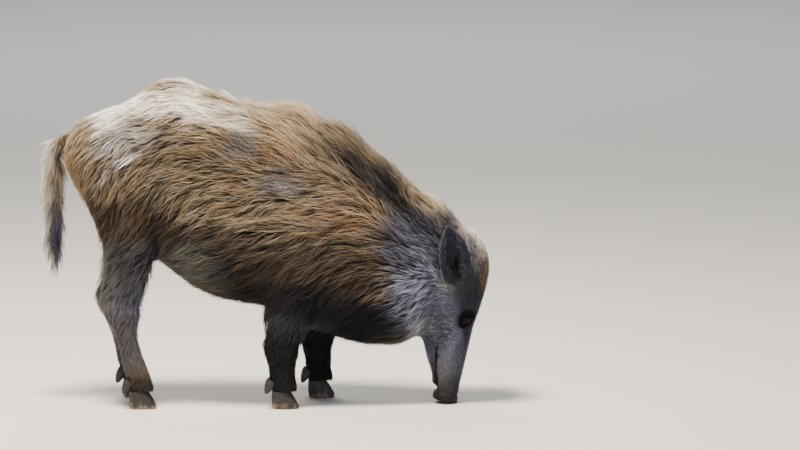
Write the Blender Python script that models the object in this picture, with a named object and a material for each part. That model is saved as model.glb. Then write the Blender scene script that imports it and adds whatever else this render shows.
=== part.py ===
"""Wild boar sow, rooting: a life-size still model, out to the tips of the coat.

Metres, +Z up. The sow faces +X and stands on z = 0. Her trunk, neck, head and legs are ovals swept
along the body, grown together into one smooth shape, and parted again by thin plane cuts into the
parts that a person would name. Claws, eyes, ears, snout disc and tail are shapes of their own.
"""

import math

import bmesh
import bpy
import numpy as np
from mathutils import Matrix, Vector

# ---------------------------------------------------------------- driving dimensions
GAP = 0.0004              # clear space between neighbouring parts
OVAL_SIDES = 28           # corners of an oval on the body
ROW_STEPS = 4             # ovals drawn from one landmark to the next
FUSE_VOXEL = 0.0065       # grid on which the swept shapes grow together
FUSE_SMOOTHING = 9        # rounds of smoothing, which fill the creases where shapes meet
BODY_TRIANGLES = 2700     # of the body, before it is parted

STANCE = 0.086            # each leg's distance from the middle plane
FORE_STEP = 0.080         # the left foreleg stands this far ahead of the right one
HIND_STEP = -0.024        # and the left hind leg this far behind the right one

SNOUT_TOP = (0.4300, -0.0010)       # x, z of the upper rim of the snout, which touches the ground
PROFILE_LEAN = math.radians(14.8)   # the line of nose and forehead leans forward by this
DISC_DEPTH = 0.016        # thickness of the bare snout disc
DISC_HEIGHT = 0.055
DISC_HALF_WIDTH = 0.0345
NOSTRIL = (0.0065, 0.0050, 0.0090)  # half its width, height and depth
EYE_RADIUS = 0.0120
EYE_UP, EYE_DEEP, EYE_OUT = 0.199, 0.030, 0.0345   # up the profile, behind it, from the middle
LIDS_OUT = 0.0480         # the hollow between the lids, from the middle
LIDS_HOLLOW = (0.0125, 0.0100, 0.0155)             # half its length, width and height
MUZZLE_LENGTH = 0.128     # up the profile, where the muzzle ends and the head begins
EAR_UP, EAR_DEEP, EAR_OUT = 0.286, 0.083, 0.0680
EAR_LENGTH = 0.124
EAR_HALF_WIDTH = 0.047
EAR_THICKNESS = 0.0080

CORONET = 0.040           # height of the upper edge of the claws
FORE_HEEL, FORE_TOE = 0.012, 0.070       # the right forefoot along x
HIND_HEEL, HIND_TOE = -0.314, -0.256     # the right hind foot along x
CLAW_LENGTH = 0.060
CLAW_HALF_WIDTH = 0.0128
CLAW_SIDES = 10
CLAW_SPREAD = 0.0150      # each claw's centre from the middle of the foot
DEWCLAW_LENGTH = 0.030
DEWCLAW_HALF_WIDTH = 0.0100
DEWCLAW_SIDES = 10
DEWCLAW_HEIGHT = 0.065    # of its root above the ground
DEWCLAW_BACK = 0.004      # of its root behind the heel
DEWCLAW_SPREAD = 0.0173
DEWCLAW_SLOPE = 0.45      # how far it points back for its length


# ---------------------------------------------------------------- drawing tools
def finish(name, colour, roughness):
    """A plain Principled material."""
    made = bpy.data.materials.new(name)
    made.use_nodes = True
    shader = made.node_tree.nodes["Principled BSDF"]
    shader.inputs["Base Color"].default_value = (*colour, 1)
    shader.inputs["Roughness"].default_value = roughness
    shader.inputs["Metallic"].default_value = 0
    return made


def through(landmarks, steps=ROW_STEPS):
    """Rows on a smooth curve through the landmark rows."""
    rows = np.array(landmarks, float)
    spans = np.linalg.norm(np.diff(rows[:, :4], axis=0), axis=1)
    clock = np.concatenate([[0], np.cumsum(spans)])
    slope = np.gradient(rows, clock, axis=0)
    drawn = []
    for i, span in enumerate(spans):
        for k in range(steps):
            t = k / steps
            ease = 3 * t**2 - 2 * t**3
            drawn.append(
                (1 - ease) * rows[i]
                + ease * rows[i + 1]
                + (t**3 - 2 * t**2 + t) * span * slope[i]
                + (t**3 - t**2) * span * slope[i + 1]
            )
    return [*drawn, rows[-1]]


def oval(row, y=0.0, sides=OVAL_SIDES):
    """Corners of one oval, whose row holds x, z of its first end, x, z of its second end, half its
    width, how much heavier it is towards the second end, and how square it is."""
    x1, z1, x2, z2, half_width, heavy, square = row
    power = 2 / (2 + square)
    corners = []
    for k in range(sides):
        c, s = math.cos(2 * math.pi * k / sides), math.sin(2 * math.pi * k / sides)
        along = math.copysign(abs(c) ** power, c)
        across = math.copysign(abs(s) ** power, s)
        corners.append((
            (x1 + x2) / 2 + (x1 - x2) / 2 * along,
            y + half_width * across * (1 - heavy * along),
            (z1 + z2) / 2 + (z1 - z2) / 2 * along,
        ))
    return corners


def place(name, bm):
    """The finished bmesh as an object, with its faces pointing out."""
    bmesh.ops.recalc_face_normals(bm, faces=bm.faces)
    if bm.calc_volume(signed=True) < 0:
        bmesh.ops.reverse_faces(bm, faces=bm.faces)
    mesh = bpy.data.meshes.new(name)
    bm.to_mesh(mesh)
    bm.free()
    made = bpy.data.objects.new(name, mesh)
    bpy.context.scene.collection.objects.link(made)
    return made


def sweep(name, rings):
    """A closed skin over rings of equal size."""
    bm = bmesh.new()
    loops = [[bm.verts.new(corner) for corner in ring] for ring in rings]
    size = len(loops[0])
    for one, other in zip(loops, loops[1:]):
        for k in range(size):
            bm.faces.new((one[k], one[(k + 1) % size], other[(k + 1) % size], other[k]))
    bm.faces.new(loops[0])
    bm.faces.new(loops[-1])
    return place(name, bm)


def ball(name, centre, radii, tilt=0.0, rings=12):
    """An ellipsoid, tilted in the side view."""
    bm = bmesh.new()
    turn = Matrix.Translation(centre) @ Matrix.Rotation(tilt, 4, "Y") @ Matrix.Diagonal((*radii, 1))
    bmesh.ops.create_uvsphere(bm, u_segments=rings * 2, v_segments=rings, radius=1, matrix=turn)
    return place(name, bm)


def settled(obj, name):
    """A plain mesh object of what obj and its modifiers give, in obj's stead."""
    bpy.context.view_layer.update()
    graph = bpy.context.evaluated_depsgraph_get()
    mesh = bpy.data.meshes.new_from_object(obj.evaluated_get(graph), depsgraph=graph)
    bpy.data.objects.remove(obj)
    made = bpy.data.objects.new(name, mesh)
    bpy.context.scene.collection.objects.link(made)
    return made


def fuse(name, shapes):
    """The shapes grown into one closed skin."""
    bm = bmesh.new()
    for shape in shapes:
        bm.from_mesh(shape.data)
        bpy.data.objects.remove(shape)
    whole = place(name, bm)
    remesh = whole.modifiers.new("grow_together", "REMESH")
    remesh.mode = "VOXEL"
    remesh.voxel_size = FUSE_VOXEL
    relax = whole.modifiers.new("relax", "SMOOTH")
    relax.factor = 0.5
    relax.iterations = FUSE_SMOOTHING
    whole = settled(whole, name)
    triangles = sum(len(face.vertices) - 2 for face in whole.data.polygons)
    thin = whole.modifiers.new("thin_out", "DECIMATE")
    thin.ratio = BODY_TRIANGLES / triangles
    return settled(whole, name)


def beyond(obj, name, point, normal):
    """What of obj lies beyond a plane, where its normal points, with a flat end on the cut."""
    bm = bmesh.new()
    bm.from_mesh(obj.data)
    normal = Vector(normal).normalized()
    found = bmesh.ops.bisect_plane(
        bm,
        geom=[*bm.verts, *bm.edges, *bm.faces],
        plane_co=Vector(point) + normal * GAP / 2,
        plane_no=normal,
        clear_inner=True,
    )
    cut = [edge for edge in found["geom_cut"] if isinstance(edge, bmesh.types.BMEdge)]
    if cut:
        bmesh.ops.holes_fill(bm, edges=cut, sides=0)
        bmesh.ops.triangulate(bm, faces=[face for face in bm.faces if len(face.verts) > 4])
    return place(name, bm)


def cut_by(obj, cutter_mesh, grow):
    """Takes from obj the cutter's shape, grown by that much."""
    cutter = bpy.data.objects.new("cutter", cutter_mesh.copy())
    bpy.context.scene.collection.objects.link(cutter)
    for vertex in cutter.data.vertices:
        vertex.co += vertex.normal * grow
    cut = obj.modifiers.new("cut", "BOOLEAN")
    cut.operation = "DIFFERENCE"
    cut.object = cutter
    made = settled(obj, obj.name)
    bpy.data.objects.remove(cutter)
    return made


# ---------------------------------------------------------------- trunk and neck
# The middle plane from tail to nape: x, z on the back, x, z below, and the oval's last three values.
TRUNK = (
    (-0.480, 0.588, -0.474, 0.560, 0.022, 0.00, 0.0),   # below the tail
    (-0.463, 0.636, -0.457, 0.512, 0.066, 0.00, 0.0),
    (-0.430, 0.662, -0.422, 0.462, 0.096, 0.02, 0.1),   # pin bones
    (-0.385, 0.682, -0.378, 0.412, 0.119, 0.04, 0.1),
    (-0.325, 0.701, -0.322, 0.372, 0.132, 0.06, 0.1),   # hips
    (-0.272, 0.739, -0.270, 0.338, 0.138, 0.10, 0.1),   # step up to the crest of the croup
    (-0.215, 0.757, -0.212, 0.292, 0.143, 0.14, 0.1),   # highest point
    (-0.150, 0.740, -0.150, 0.251, 0.149, 0.18, 0.1),   # loin and flank
    (-0.075, 0.708, -0.075, 0.229, 0.154, 0.20, 0.1),   # belly
    (0.010, 0.697, 0.005, 0.218, 0.154, 0.20, 0.1),     # girth
    (0.075, 0.694, 0.060, 0.198, 0.150, 0.20, 0.1),     # withers, where the mane starts to rise
    (0.135, 0.672, 0.110, 0.168, 0.145, 0.18, 0.1),
    (0.207, 0.634, 0.165, 0.145, 0.134, 0.16, 0.1),     # chest
    (0.262, 0.592, 0.215, 0.132, 0.122, 0.12, 0.1),     # root of the neck
    (0.318, 0.534, 0.260, 0.127, 0.112, 0.08, 0.1),
    (0.377, 0.487, 0.300, 0.129, 0.103, 0.04, 0.1),     # nape and throat
    (0.427, 0.448, 0.330, 0.143, 0.093, 0.00, 0.1),
    (0.462, 0.400, 0.362, 0.175, 0.070, 0.00, 0.1),     # ends inside the head
)

# ---------------------------------------------------------------- head
# Up the profile, set back from its line, depth to the jaw, and the oval's last three values.
HEAD = (
    (-0.010, 0.002, 0.054, 0.0300, 0.00, 0.3),          # runs on into the snout disc, to be cut
    (0.040, 0.000, 0.067, 0.0330, 0.02, 0.4),
    (0.075, 0.000, 0.087, 0.0385, 0.02, 0.5),           # roots of the upper tusks
    (0.115, 0.001, 0.110, 0.0425, 0.02, 0.4),
    (0.155, 0.002, 0.136, 0.0500, 0.02, 0.3),
    (0.190, 0.002, 0.158, 0.0590, 0.02, 0.3),
    (0.220, 0.000, 0.173, 0.0670, 0.02, 0.3),           # eyes
    (0.255, -0.002, 0.183, 0.0750, 0.02, 0.3),
    (0.295, -0.002, 0.190, 0.0810, 0.02, 0.3),          # ears
    (0.335, 0.005, 0.190, 0.0820, 0.02, 0.2),
    (0.375, 0.026, 0.160, 0.0740, 0.00, 0.1),
    (0.402, 0.058, 0.110, 0.0550, 0.00, 0.0),           # ends inside the nape
)
UPWARD = Vector((math.sin(PROFILE_LEAN), 0, math.cos(PROFILE_LEAN)))
INWARD = Vector((-math.cos(PROFILE_LEAN), 0, math.sin(PROFILE_LEAN)))


def on_head(up, deep, y=0.0):
    """The point that far up the profile from the snout's rim, and that deep behind it."""
    return Vector((SNOUT_TOP[0], y, SNOUT_TOP[1])) + UPWARD * up + INWARD * deep


def head_rows():
    """The head's landmarks as rows of x and z."""
    rows = []
    for up, back, depth, *shape in HEAD:
        top, jaw = on_head(up, back), on_head(up, back + depth)
        rows.append((top.x, top.z, jaw.x, jaw.z, *shape))
    return rows


def face_swellings():
    """Cheek muscles, brows and cheekbones of both sides."""
    made = []
    for side in (-1, 1):
        made += [
            ball("cheek", on_head(0.250, 0.118, side * 0.046), (0.064, 0.036, 0.060), PROFILE_LEAN),
            ball("brow", on_head(0.236, 0.022, side * 0.036), (0.017, 0.020, 0.032), PROFILE_LEAN),
            ball("cheekbone", on_head(0.198, 0.064, side * 0.041), (0.017, 0.019, 0.044), PROFILE_LEAN),
        ]
    return made


# ---------------------------------------------------------------- legs
# From the trunk down: x, z of the front edge, x, z of the back edge, and the oval's last three values.
HIND_LEG = (
    (-0.190, 0.560, -0.440, 0.575, 0.056, 0.0, 0.0),    # haunch, inside the trunk
    (-0.205, 0.500, -0.441, 0.510, 0.063, 0.0, 0.0),
    (-0.226, 0.440, -0.412, 0.445, 0.061, 0.0, 0.0),
    (-0.244, 0.385, -0.388, 0.385, 0.054, 0.0, 0.0),    # stifle
    (-0.250, 0.335, -0.380, 0.330, 0.046, 0.0, 0.0),
    (-0.262, 0.292, -0.385, 0.285, 0.038, 0.0, 0.0),    # gaskin
    (-0.276, 0.256, -0.388, 0.258, 0.032, 0.0, 0.0),
    (-0.291, 0.220, -0.380, 0.228, 0.028, 0.0, 0.1),    # point of the hock
    (-0.300, 0.186, -0.357, 0.192, 0.025, 0.0, 0.2),
    (-0.299, 0.155, -0.343, 0.155, 0.023, 0.0, 0.2),    # cannon
    (-0.289, 0.122, -0.334, 0.120, 0.022, 0.0, 0.2),
    (-0.277, 0.092, -0.330, 0.088, 0.026, 0.0, 0.2),    # fetlock
    (-0.266, 0.062, -0.320, 0.057, 0.028, 0.0, 0.2),
    (-0.256, 0.028, -0.316, 0.028, 0.028, 0.0, 0.2),    # runs on below the coronet, to be cut
)
FORE_LEG = (
    (0.165, 0.430, 0.010, 0.430, 0.050, 0.0, 0.0),      # upper arm, inside the trunk
    (0.158, 0.350, -0.012, 0.350, 0.053, 0.0, 0.0),
    (0.148, 0.290, -0.020, 0.285, 0.051, 0.0, 0.0),     # elbow
    (0.134, 0.240, -0.018, 0.232, 0.045, 0.0, 0.0),
    (0.110, 0.200, -0.016, 0.192, 0.038, 0.0, 0.0),     # forearm
    (0.089, 0.165, -0.014, 0.158, 0.032, 0.0, 0.1),
    (0.073, 0.132, -0.008, 0.126, 0.028, 0.0, 0.2),     # knee
    (0.063, 0.104, 0.001, 0.098, 0.024, 0.0, 0.2),      # cannon
    (0.061, 0.080, 0.003, 0.074, 0.025, 0.0, 0.2),      # fetlock
    (0.064, 0.058, 0.005, 0.052, 0.028, 0.0, 0.2),
    (0.070, 0.028, 0.010, 0.028, 0.028, 0.0, 0.2),      # runs on below the coronet, to be cut
)
LEG_FREE = 0.45           # above this height a leg is part of the body and takes no step
LEG_STEPPED = 0.20        # below this one it takes its whole step
RIGHT, LEFT = -1, 1
SIDES = {RIGHT: "right", LEFT: "left"}
STEPS = {
    "fore": {RIGHT: 0.0, LEFT: FORE_STEP},
    "hind": {RIGHT: 0.0, LEFT: HIND_STEP},
}


def leg(name, landmarks, side, step):
    """One leg at its side of the body, which bends forward to its step below the trunk."""
    rings = []
    for row in through(landmarks):
        share = min(1.0, max(0.0, (LEG_FREE - row[1]) / (LEG_FREE - LEG_STEPPED)))
        row = row + np.array([1, 0, 1, 0, 0, 0, 0]) * step * share
        rings.append(oval(row, side * STANCE, sides=20))
    return sweep(name, rings)


def body_shapes():
    """Every swept shape and swelling of the body."""
    shapes = [
        sweep("trunk", [oval(row) for row in through(TRUNK)]),
        sweep("skull", [oval(row) for row in through(head_rows())]),
        *face_swellings(),
    ]
    for side in SIDES:
        shapes += [
            leg("foreleg", FORE_LEG, side, STEPS["fore"][side]),
            leg("hind_leg", HIND_LEG, side, STEPS["hind"][side]),
            ball("shoulder", (0.110, side * 0.086, 0.430), (0.100, 0.062, 0.155), 0.25),
            ball("haunch", (-0.325, side * 0.078, 0.520), (0.112, 0.061, 0.125), -0.2),
        ]
    return shapes


# ---------------------------------------------------------------- parting the body
MOUTH_CORNER = on_head(0.125, 0.074)
MOUTH_FRONT = on_head(0.030, 0.050)
NAPE = Vector((0.446, 0, 0.440))
THROAT = Vector((0.318, 0, 0.140))
KEEL = 0.4                # any height on an upright cut


def across(start, end):
    """The direction square to a line in the side view, towards the sow's front."""
    line = (end - start).normalized()
    return Vector((abs(line.z), 0, -line.x * math.copysign(1, line.z)))


# What is cut, a point and the normal of the plane, and the names behind and beyond it.
CUTS = [
    ("body", NAPE, across(THROAT, NAPE), "trunk_and_neck", "face"),
    ("face", on_head(MUZZLE_LENGTH, 0), -UPWARD, "head", "nose"),
    ("nose", MOUTH_FRONT, across(MOUTH_FRONT, MOUTH_CORNER), "jaw_end", "muzzle_end"),
    ("muzzle_end", on_head(DISC_DEPTH, 0), UPWARD, "", "muzzle"),
    ("jaw_end", on_head(0.030, 0), UPWARD, "", "lower_jaw"),
    ("trunk_and_neck", (0.236, 0, KEEL), (0.99, 0, -0.13), "trunk", "neck"),
    ("trunk", (-0.040, 0, KEEL), (1, 0, 0), "rear", "front"),
    ("rear", (-0.2385, 0, KEEL), (1, 0, 0), "hindquarters", "barrel"),
    ("hindquarters", (0, 0, 0.300), (0, 0, 1), "hind_legs", "haunches"),
    ("haunches", (0, -0.068, 0.430), (0, -0.90, -0.43), "haunches_left", "thigh_right"),
    ("haunches_left", (0, 0.068, 0.430), (0, 0.90, -0.43), "rump", "thigh_left"),
    ("hind_legs", (0, 0, 0), (0, 1, 0), "hind_leg_right", "hind_leg_left"),
    ("front", (0.02, -0.080, 0.245), (-0.30, -0.86, -0.42), "front_left", "foreleg_right"),
    ("front_left", (0.06, 0.080, 0.245), (-0.30, 0.86, -0.42), "shoulders", "foreleg_left"),
]
LEG_CUTS = {
    "foreleg": (
        (0.222, "upper_arm"),
        (0.118, "forearm"),
        (0.066, "fore_cannon"),
        (CORONET, "fore_pastern"),
    ),
    "hind_leg": (
        (0.197, "shank"),
        (0.078, "hind_cannon"),
        (CORONET, "hind_pastern"),
    ),
}
for limb, levels in LEG_CUTS.items():
    for word in SIDES.values():
        below = f"{limb}_{word}"
        for height, length in levels:
            CUTS.append((below, (0, 0, height), (0, 0, 1), below, f"{length}_{word}"))


def part_body(whole):
    """The body parted by the cuts, one after the other. Returns its parts by name."""
    pieces = {"body": whole}
    for name, point, normal, behind, ahead in CUTS:
        old = pieces.pop(name)
        if behind:
            pieces[behind] = beyond(old, behind, point, -Vector(normal))
        pieces[ahead] = beyond(old, ahead, point, Vector(normal))
        bpy.data.objects.remove(old)
    for limb in LEG_CUTS:
        for word in SIDES.values():
            bpy.data.objects.remove(pieces.pop(f"{limb}_{word}"))      # what is below the coronet
    return pieces


# ---------------------------------------------------------------- snout, eyes and ears
def snout_disc():
    """The bare disc at the end of the snout, with two nostrils and a flat where it touches down."""
    shape = (                    # height up the profile, size as a share
        (0.0155, 0.94),
        (0.0130, 1.00),
        (0.0050, 1.03),
        (0.0010, 0.98),
        (-0.0010, 0.88),
        (0.0005, 0.70),
    )
    rings = []
    for up, size in shape:
        middle = DISC_HEIGHT / 2 - 0.001
        top, low = (on_head(up, middle + way * DISC_HEIGHT / 2 * size) for way in (-1, 1))
        row = (top.x, top.z, low.x, low.z, DISC_HALF_WIDTH * size, -0.05, 0.3)
        rings.append(oval(row, sides=20))
    disc = sweep("snout_disc", rings)
    for side in SIDES:
        width, height, depth = NOSTRIL
        middle = on_head(0.0, 0.025, side * 0.0135)
        pit = ball("nostril", middle, (height, width, depth), PROFILE_LEAN, rings=5)
        disc = cut_by(disc, pit.data, 0)
        bpy.data.objects.remove(pit)
    whole = disc
    disc = beyond(whole, "snout_disc", (0, 0, -GAP / 2), (0, 0, 1))
    bpy.data.objects.remove(whole)
    return disc


def eye(side):
    """An eyeball, seen through the lids' opening."""
    return ball("eye", on_head(EYE_UP, EYE_DEEP, side * EYE_OUT), [EYE_RADIUS] * 3, rings=6)


def ear(side):
    """A cupped leaf with a rounded tip, laid back along the neck and turned out."""
    along_steps, across_steps = 8, 6
    root = on_head(EAR_UP, EAR_DEEP, side * EAR_OUT)
    axis = Vector((-0.05, side * 0.34, 0.93)).normalized()
    wide = Vector((0.86, side * -0.45, 0))
    wide = (wide - axis * wide.dot(axis)).normalized()
    out = axis.cross(wide) * side
    bm = bmesh.new()
    layers = []
    for layer in (0, 1):
        grid = []
        for i in range(along_steps + 1):
            t = i / along_steps
            width = EAR_HALF_WIDTH * math.sin(math.pi * (0.24 + 0.74 * t)) ** 0.75
            curl = math.radians(80 - 40 * t)
            row = []
            for j in range(across_steps + 1):
                u = 2 * j / across_steps - 1
                angle = u * curl
                radius = width / curl
                thick = EAR_THICKNESS * (1 - 0.45 * t) * (1 - 0.5 * u**2)
                reach = radius - (thick if layer else 0)
                spot = (
                    root
                    + axis * (EAR_LENGTH * t)
                    + wide * (reach * math.sin(angle))
                    + out * (radius - reach * math.cos(angle) - 0.012 * t**2)
                )
                row.append(bm.verts.new(spot))
            grid.append(row)
        layers.append(grid)
    outer, inner = layers
    for grid in layers:
        for i in range(along_steps):
            for j in range(across_steps):
                bm.faces.new((grid[i][j], grid[i][j + 1], grid[i + 1][j + 1], grid[i + 1][j]))
    for i in range(along_steps):
        for j in (0, across_steps):
            bm.faces.new((outer[i][j], outer[i + 1][j], inner[i + 1][j], inner[i][j]))
    for j in range(across_steps):
        for i in (0, along_steps):
            bm.faces.new((outer[i][j], outer[i][j + 1], inner[i][j + 1], inner[i][j]))
    return place("ear", bm)


# ---------------------------------------------------------------- tail
# Middle of the tail: x, z, and half its thickness with its long hair.
TAIL = (
    (-0.462, 0.612, 0.016),
    (-0.482, 0.600, 0.020),
    (-0.491, 0.565, 0.023),
    (-0.493, 0.510, 0.022),
    (-0.493, 0.450, 0.021),
    (-0.492, 0.395, 0.018),
    (-0.490, 0.355, 0.012),
    (-0.489, 0.334, 0.004),
)
TUFT_STARTS = 0.440


def tail():
    """The hanging tail, with the flat sides of its fringe of hair."""
    rings = []
    rows = through([(x, z, x, z, half, 0, 0) for x, z, half in TAIL], steps=2)
    for i, row in enumerate(rows):
        before, after = rows[max(i - 1, 0)], rows[min(i + 1, len(rows) - 1)]
        run = Vector((after[0] - before[0], 0, after[1] - before[1])).normalized()
        half = row[4]
        side_x, side_z = -run.z * half, run.x * half
        rings.append(oval((row[0] - side_x, row[1] - side_z, row[0] + side_x, row[1] + side_z,
                           half * 0.9, 0, 0), sides=12))
    return sweep("tail", rings)


# ---------------------------------------------------------------- claws
def claw(name, x, y):
    """A main claw: a flat sole, a steep front wall and a rounded heel, in level outlines."""
    shape = (                    # height, length and width as shares, shift towards the heel
        (0.0, 0.95, 0.94, 0.000),
        (0.004, 1.00, 1.00, 0.001),
        (0.016, 0.92, 1.02, 0.005),
        (0.029, 0.79, 0.96, 0.009),
        (CORONET - GAP, 0.64, 0.84, 0.013),
    )
    rings = []
    for z, length, width, shift in shape:
        ring = []
        for k in range(CLAW_SIDES):
            turn = 2 * math.pi * k / CLAW_SIDES
            forward = math.cos(turn)
            taper = 1 - 0.30 * max(0.0, forward) ** 2
            ring.append((
                x - shift + CLAW_LENGTH / 2 * length * forward,
                y + CLAW_HALF_WIDTH * width * math.sin(turn) * taper,
                z,
            ))
        rings.append(ring)
    return sweep(name, rings)


def dewclaw(name, x, y):
    """A small claw behind the pastern, a blunt cone pointing down and back, clear of the ground."""
    shape = ((0.0, 0.80), (0.2, 1.00), (0.5, 0.92), (0.8, 0.62), (1.0, 0.22))
    rings = []
    for t, size in shape:
        middle_x = x - DEWCLAW_SLOPE * DEWCLAW_LENGTH * t
        middle_z = DEWCLAW_HEIGHT - DEWCLAW_LENGTH * t
        half = DEWCLAW_HALF_WIDTH * size
        rise = DEWCLAW_SLOPE * half
        front, back = (middle_x + half, middle_z - rise), (middle_x - half, middle_z + rise)
        rings.append(oval((*front, *back, half * 0.85, 0, 0), y, sides=DEWCLAW_SIDES))
    return sweep(name, rings)


def foot(body_mesh, limb, side, heel, toe):
    """Two main claws and two dewclaws under one pastern."""
    word = SIDES[side]
    shift = STEPS[limb][side]
    made = {}
    for name, way in (("inner", -side), ("outer", side)):
        y = side * STANCE + way * CLAW_SPREAD
        made[f"{limb}_claw_{name}_{word}"] = claw("claw", (heel + toe) / 2 + shift, y)
        y = side * STANCE + way * DEWCLAW_SPREAD
        root = dewclaw("dewclaw", heel - DEWCLAW_BACK + shift, y)
        made[f"{limb}_dewclaw_{name}_{word}"] = cut_by(root, body_mesh, GAP)
    return made


# ---------------------------------------------------------------- the whole sow
def materials():
    """Which material each part wears, by what its name holds."""
    coat = finish("brown_winter_coat", (0.16, 0.105, 0.058), 0.9)
    pale = finish("pale_rump_coat", (0.42, 0.30, 0.17), 0.9)
    dark = finish("dark_face_and_leg_coat", (0.045, 0.038, 0.034), 0.9)
    return (
        ("claw", finish("claw_horn", (0.035, 0.028, 0.024), 0.45)),
        ("eye", finish("dark_eye", (0.012, 0.008, 0.006), 0.08)),
        ("snout_disc", finish("bare_snout_skin", (0.050, 0.034, 0.032), 0.5)),
        ("rump", pale),
        ("thigh", pale),
        ("barrel", coat),
        ("shoulders", coat),
        ("tail", coat),
        ("", dark),
    )


def centre(pieces):
    """Moves the sow so that her box stands centred over the origin."""
    for axis in (0, 1):
        spots = [vertex.co[axis] for obj in pieces.values() for vertex in obj.data.vertices]
        middle = (min(spots) + max(spots)) / 2
        for obj in pieces.values():
            for vertex in obj.data.vertices:
                vertex.co[axis] -= middle


def dress(pieces):
    """Gives every part its name, its material and its shading."""
    finishes = materials()
    for name, obj in pieces.items():
        obj.name = name
        obj.data.name = name
        worn = next(material for word, material in finishes if word in name)
        obj.data.materials.clear()
        obj.data.materials.append(worn)
        obj.data.shade_smooth()
        obj.data.set_sharp_from_angle(angle=math.radians(50))


def build():
    """Models the sow, part by part."""
    for obj in list(bpy.data.objects):
        bpy.data.objects.remove(obj)
    body = fuse("body", body_shapes())
    body_mesh = body.data.copy()
    pieces = part_body(body)
    pieces["snout_disc"] = snout_disc()
    for side, word in SIDES.items():
        ball_of_eye = eye(side)
        middle = on_head(EYE_UP, EYE_DEEP, side * LIDS_OUT)
        hollow = ball("hollow", middle, LIDS_HOLLOW, PROFILE_LEAN, rings=6)
        for cutter, grow in ((ball_of_eye, GAP), (hollow, 0)):
            pieces["head"] = cut_by(pieces["head"], cutter.data, grow)
        bpy.data.objects.remove(hollow)
        pieces[f"eye_{word}"] = ball_of_eye
        pieces[f"ear_{word}"] = cut_by(ear(side), body_mesh, GAP)
    whole_tail = cut_by(tail(), body_mesh, GAP)
    pieces["tail"] = beyond(whole_tail, "tail", (0, 0, TUFT_STARTS), (0, 0, 1))
    pieces["tail_tuft"] = beyond(whole_tail, "tail_tuft", (0, 0, TUFT_STARTS), (0, 0, -1))
    bpy.data.objects.remove(whole_tail)
    for side in SIDES:
        pieces.update(foot(body_mesh, "fore", side, FORE_HEEL, FORE_TOE))
        pieces.update(foot(body_mesh, "hind", side, HIND_HEEL, HIND_TOE))
    centre(pieces)
    dress(pieces)


build()
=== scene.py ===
# %% [markdown]
# # Wild boar sow, rooting
# A museum mount of this animal starts from a manikin of the body under its hair. A tanned skin is
# drawn over it, the eyes are set in, and the hair then lies over the skin as it grew. This lesson
# follows the same order: skin, face, comb chart, coat, eyes and claws, light.

import math
from contextlib import contextmanager

import bmesh
import bpy
import numpy as np
from mathutils import Matrix, Vector, noise
from mathutils.bvhtree import BVHTree
from mathutils.kdtree import KDTree


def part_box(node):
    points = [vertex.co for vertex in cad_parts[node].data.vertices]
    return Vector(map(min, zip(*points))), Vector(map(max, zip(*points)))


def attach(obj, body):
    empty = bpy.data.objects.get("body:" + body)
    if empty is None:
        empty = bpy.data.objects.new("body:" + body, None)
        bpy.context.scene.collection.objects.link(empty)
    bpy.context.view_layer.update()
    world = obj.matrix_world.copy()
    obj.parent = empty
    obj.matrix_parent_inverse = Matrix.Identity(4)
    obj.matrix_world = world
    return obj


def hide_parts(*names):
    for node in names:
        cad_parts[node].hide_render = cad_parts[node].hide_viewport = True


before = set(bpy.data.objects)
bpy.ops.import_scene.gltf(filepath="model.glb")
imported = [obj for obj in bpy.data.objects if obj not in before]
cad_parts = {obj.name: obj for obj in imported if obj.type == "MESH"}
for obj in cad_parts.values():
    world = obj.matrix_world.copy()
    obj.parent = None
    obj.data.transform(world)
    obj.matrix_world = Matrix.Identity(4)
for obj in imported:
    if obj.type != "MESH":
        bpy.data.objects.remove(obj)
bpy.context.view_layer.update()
RIGHT, LEFT = -1, 1
WORD = {RIGHT: "right", LEFT: "left"}


# %% [markdown]
# Small tools come first. One adds a shader or geometry node with its settings and links. One turns
# a painter's sRGB hex value into the linear colour that light is worked out in. One opens a mesh so
# that its faces can be edited. The others read and write a mesh's places as arrays, which keeps the
# sculpting steps quick.

# %% Small tools
def linear(hex_colour):
    """The linear RGBA of an sRGB hex value."""
    parts = [int(hex_colour[i:i + 2], 16) / 255 for i in (1, 3, 5)]
    return (*[c / 12.92 if c <= 0.04045 else ((c + 0.055) / 1.055) ** 2.4 for c in parts], 1.0)


def add(tree, kind, inputs=(), **settings):
    """A node of that kind with its settings, each input a value or an output to link."""
    node = tree.nodes.new(kind)
    for key, value in settings.items():
        setattr(node, key, value)
    for socket, value in dict(inputs).items():
        if isinstance(value, bpy.types.NodeSocket):
            tree.links.new(value, node.inputs[socket])
        else:
            node.inputs[socket].default_value = value
    return node


@contextmanager
def editing(mesh):
    """Opens a mesh for edits to its faces, and writes them back at the end."""
    bm = bmesh.new()
    bm.from_mesh(mesh)
    yield bm
    bm.to_mesh(mesh)
    bm.free()


def points_of(mesh):
    """The places of a mesh's vertices, as an array."""
    spots = np.empty(len(mesh.vertices) * 3, np.float32)
    mesh.vertices.foreach_get("co", spots)
    return spots.reshape(-1, 3).astype(float)


def normals_of(mesh):
    """The normals of a mesh's vertices, as an array."""
    found = np.empty(len(mesh.vertices) * 3, np.float32)
    mesh.vertex_normals.foreach_get("vector", found)
    return found.reshape(-1, 3).astype(float)


def set_points(mesh, spots):
    """Puts a mesh's vertices there."""
    mesh.vertices.foreach_set("co", spots.astype(np.float32).ravel())
    mesh.update()


def unit(vectors):
    """Vectors of length 1."""
    return vectors / np.maximum(np.linalg.norm(vectors, axis=-1, keepdims=True), 1e-9)


def rise(value, low, high):
    """A smooth step from 0 at low to 1 at high."""
    t = np.clip((value - low) / (high - low), 0, 1)
    return t * t * (3 - 2 * t)


def put(name, mesh):
    """An object for the mesh, at the origin."""
    made = bpy.data.objects.new(name, mesh)
    bpy.context.scene.collection.objects.link(made)
    return made


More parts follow.
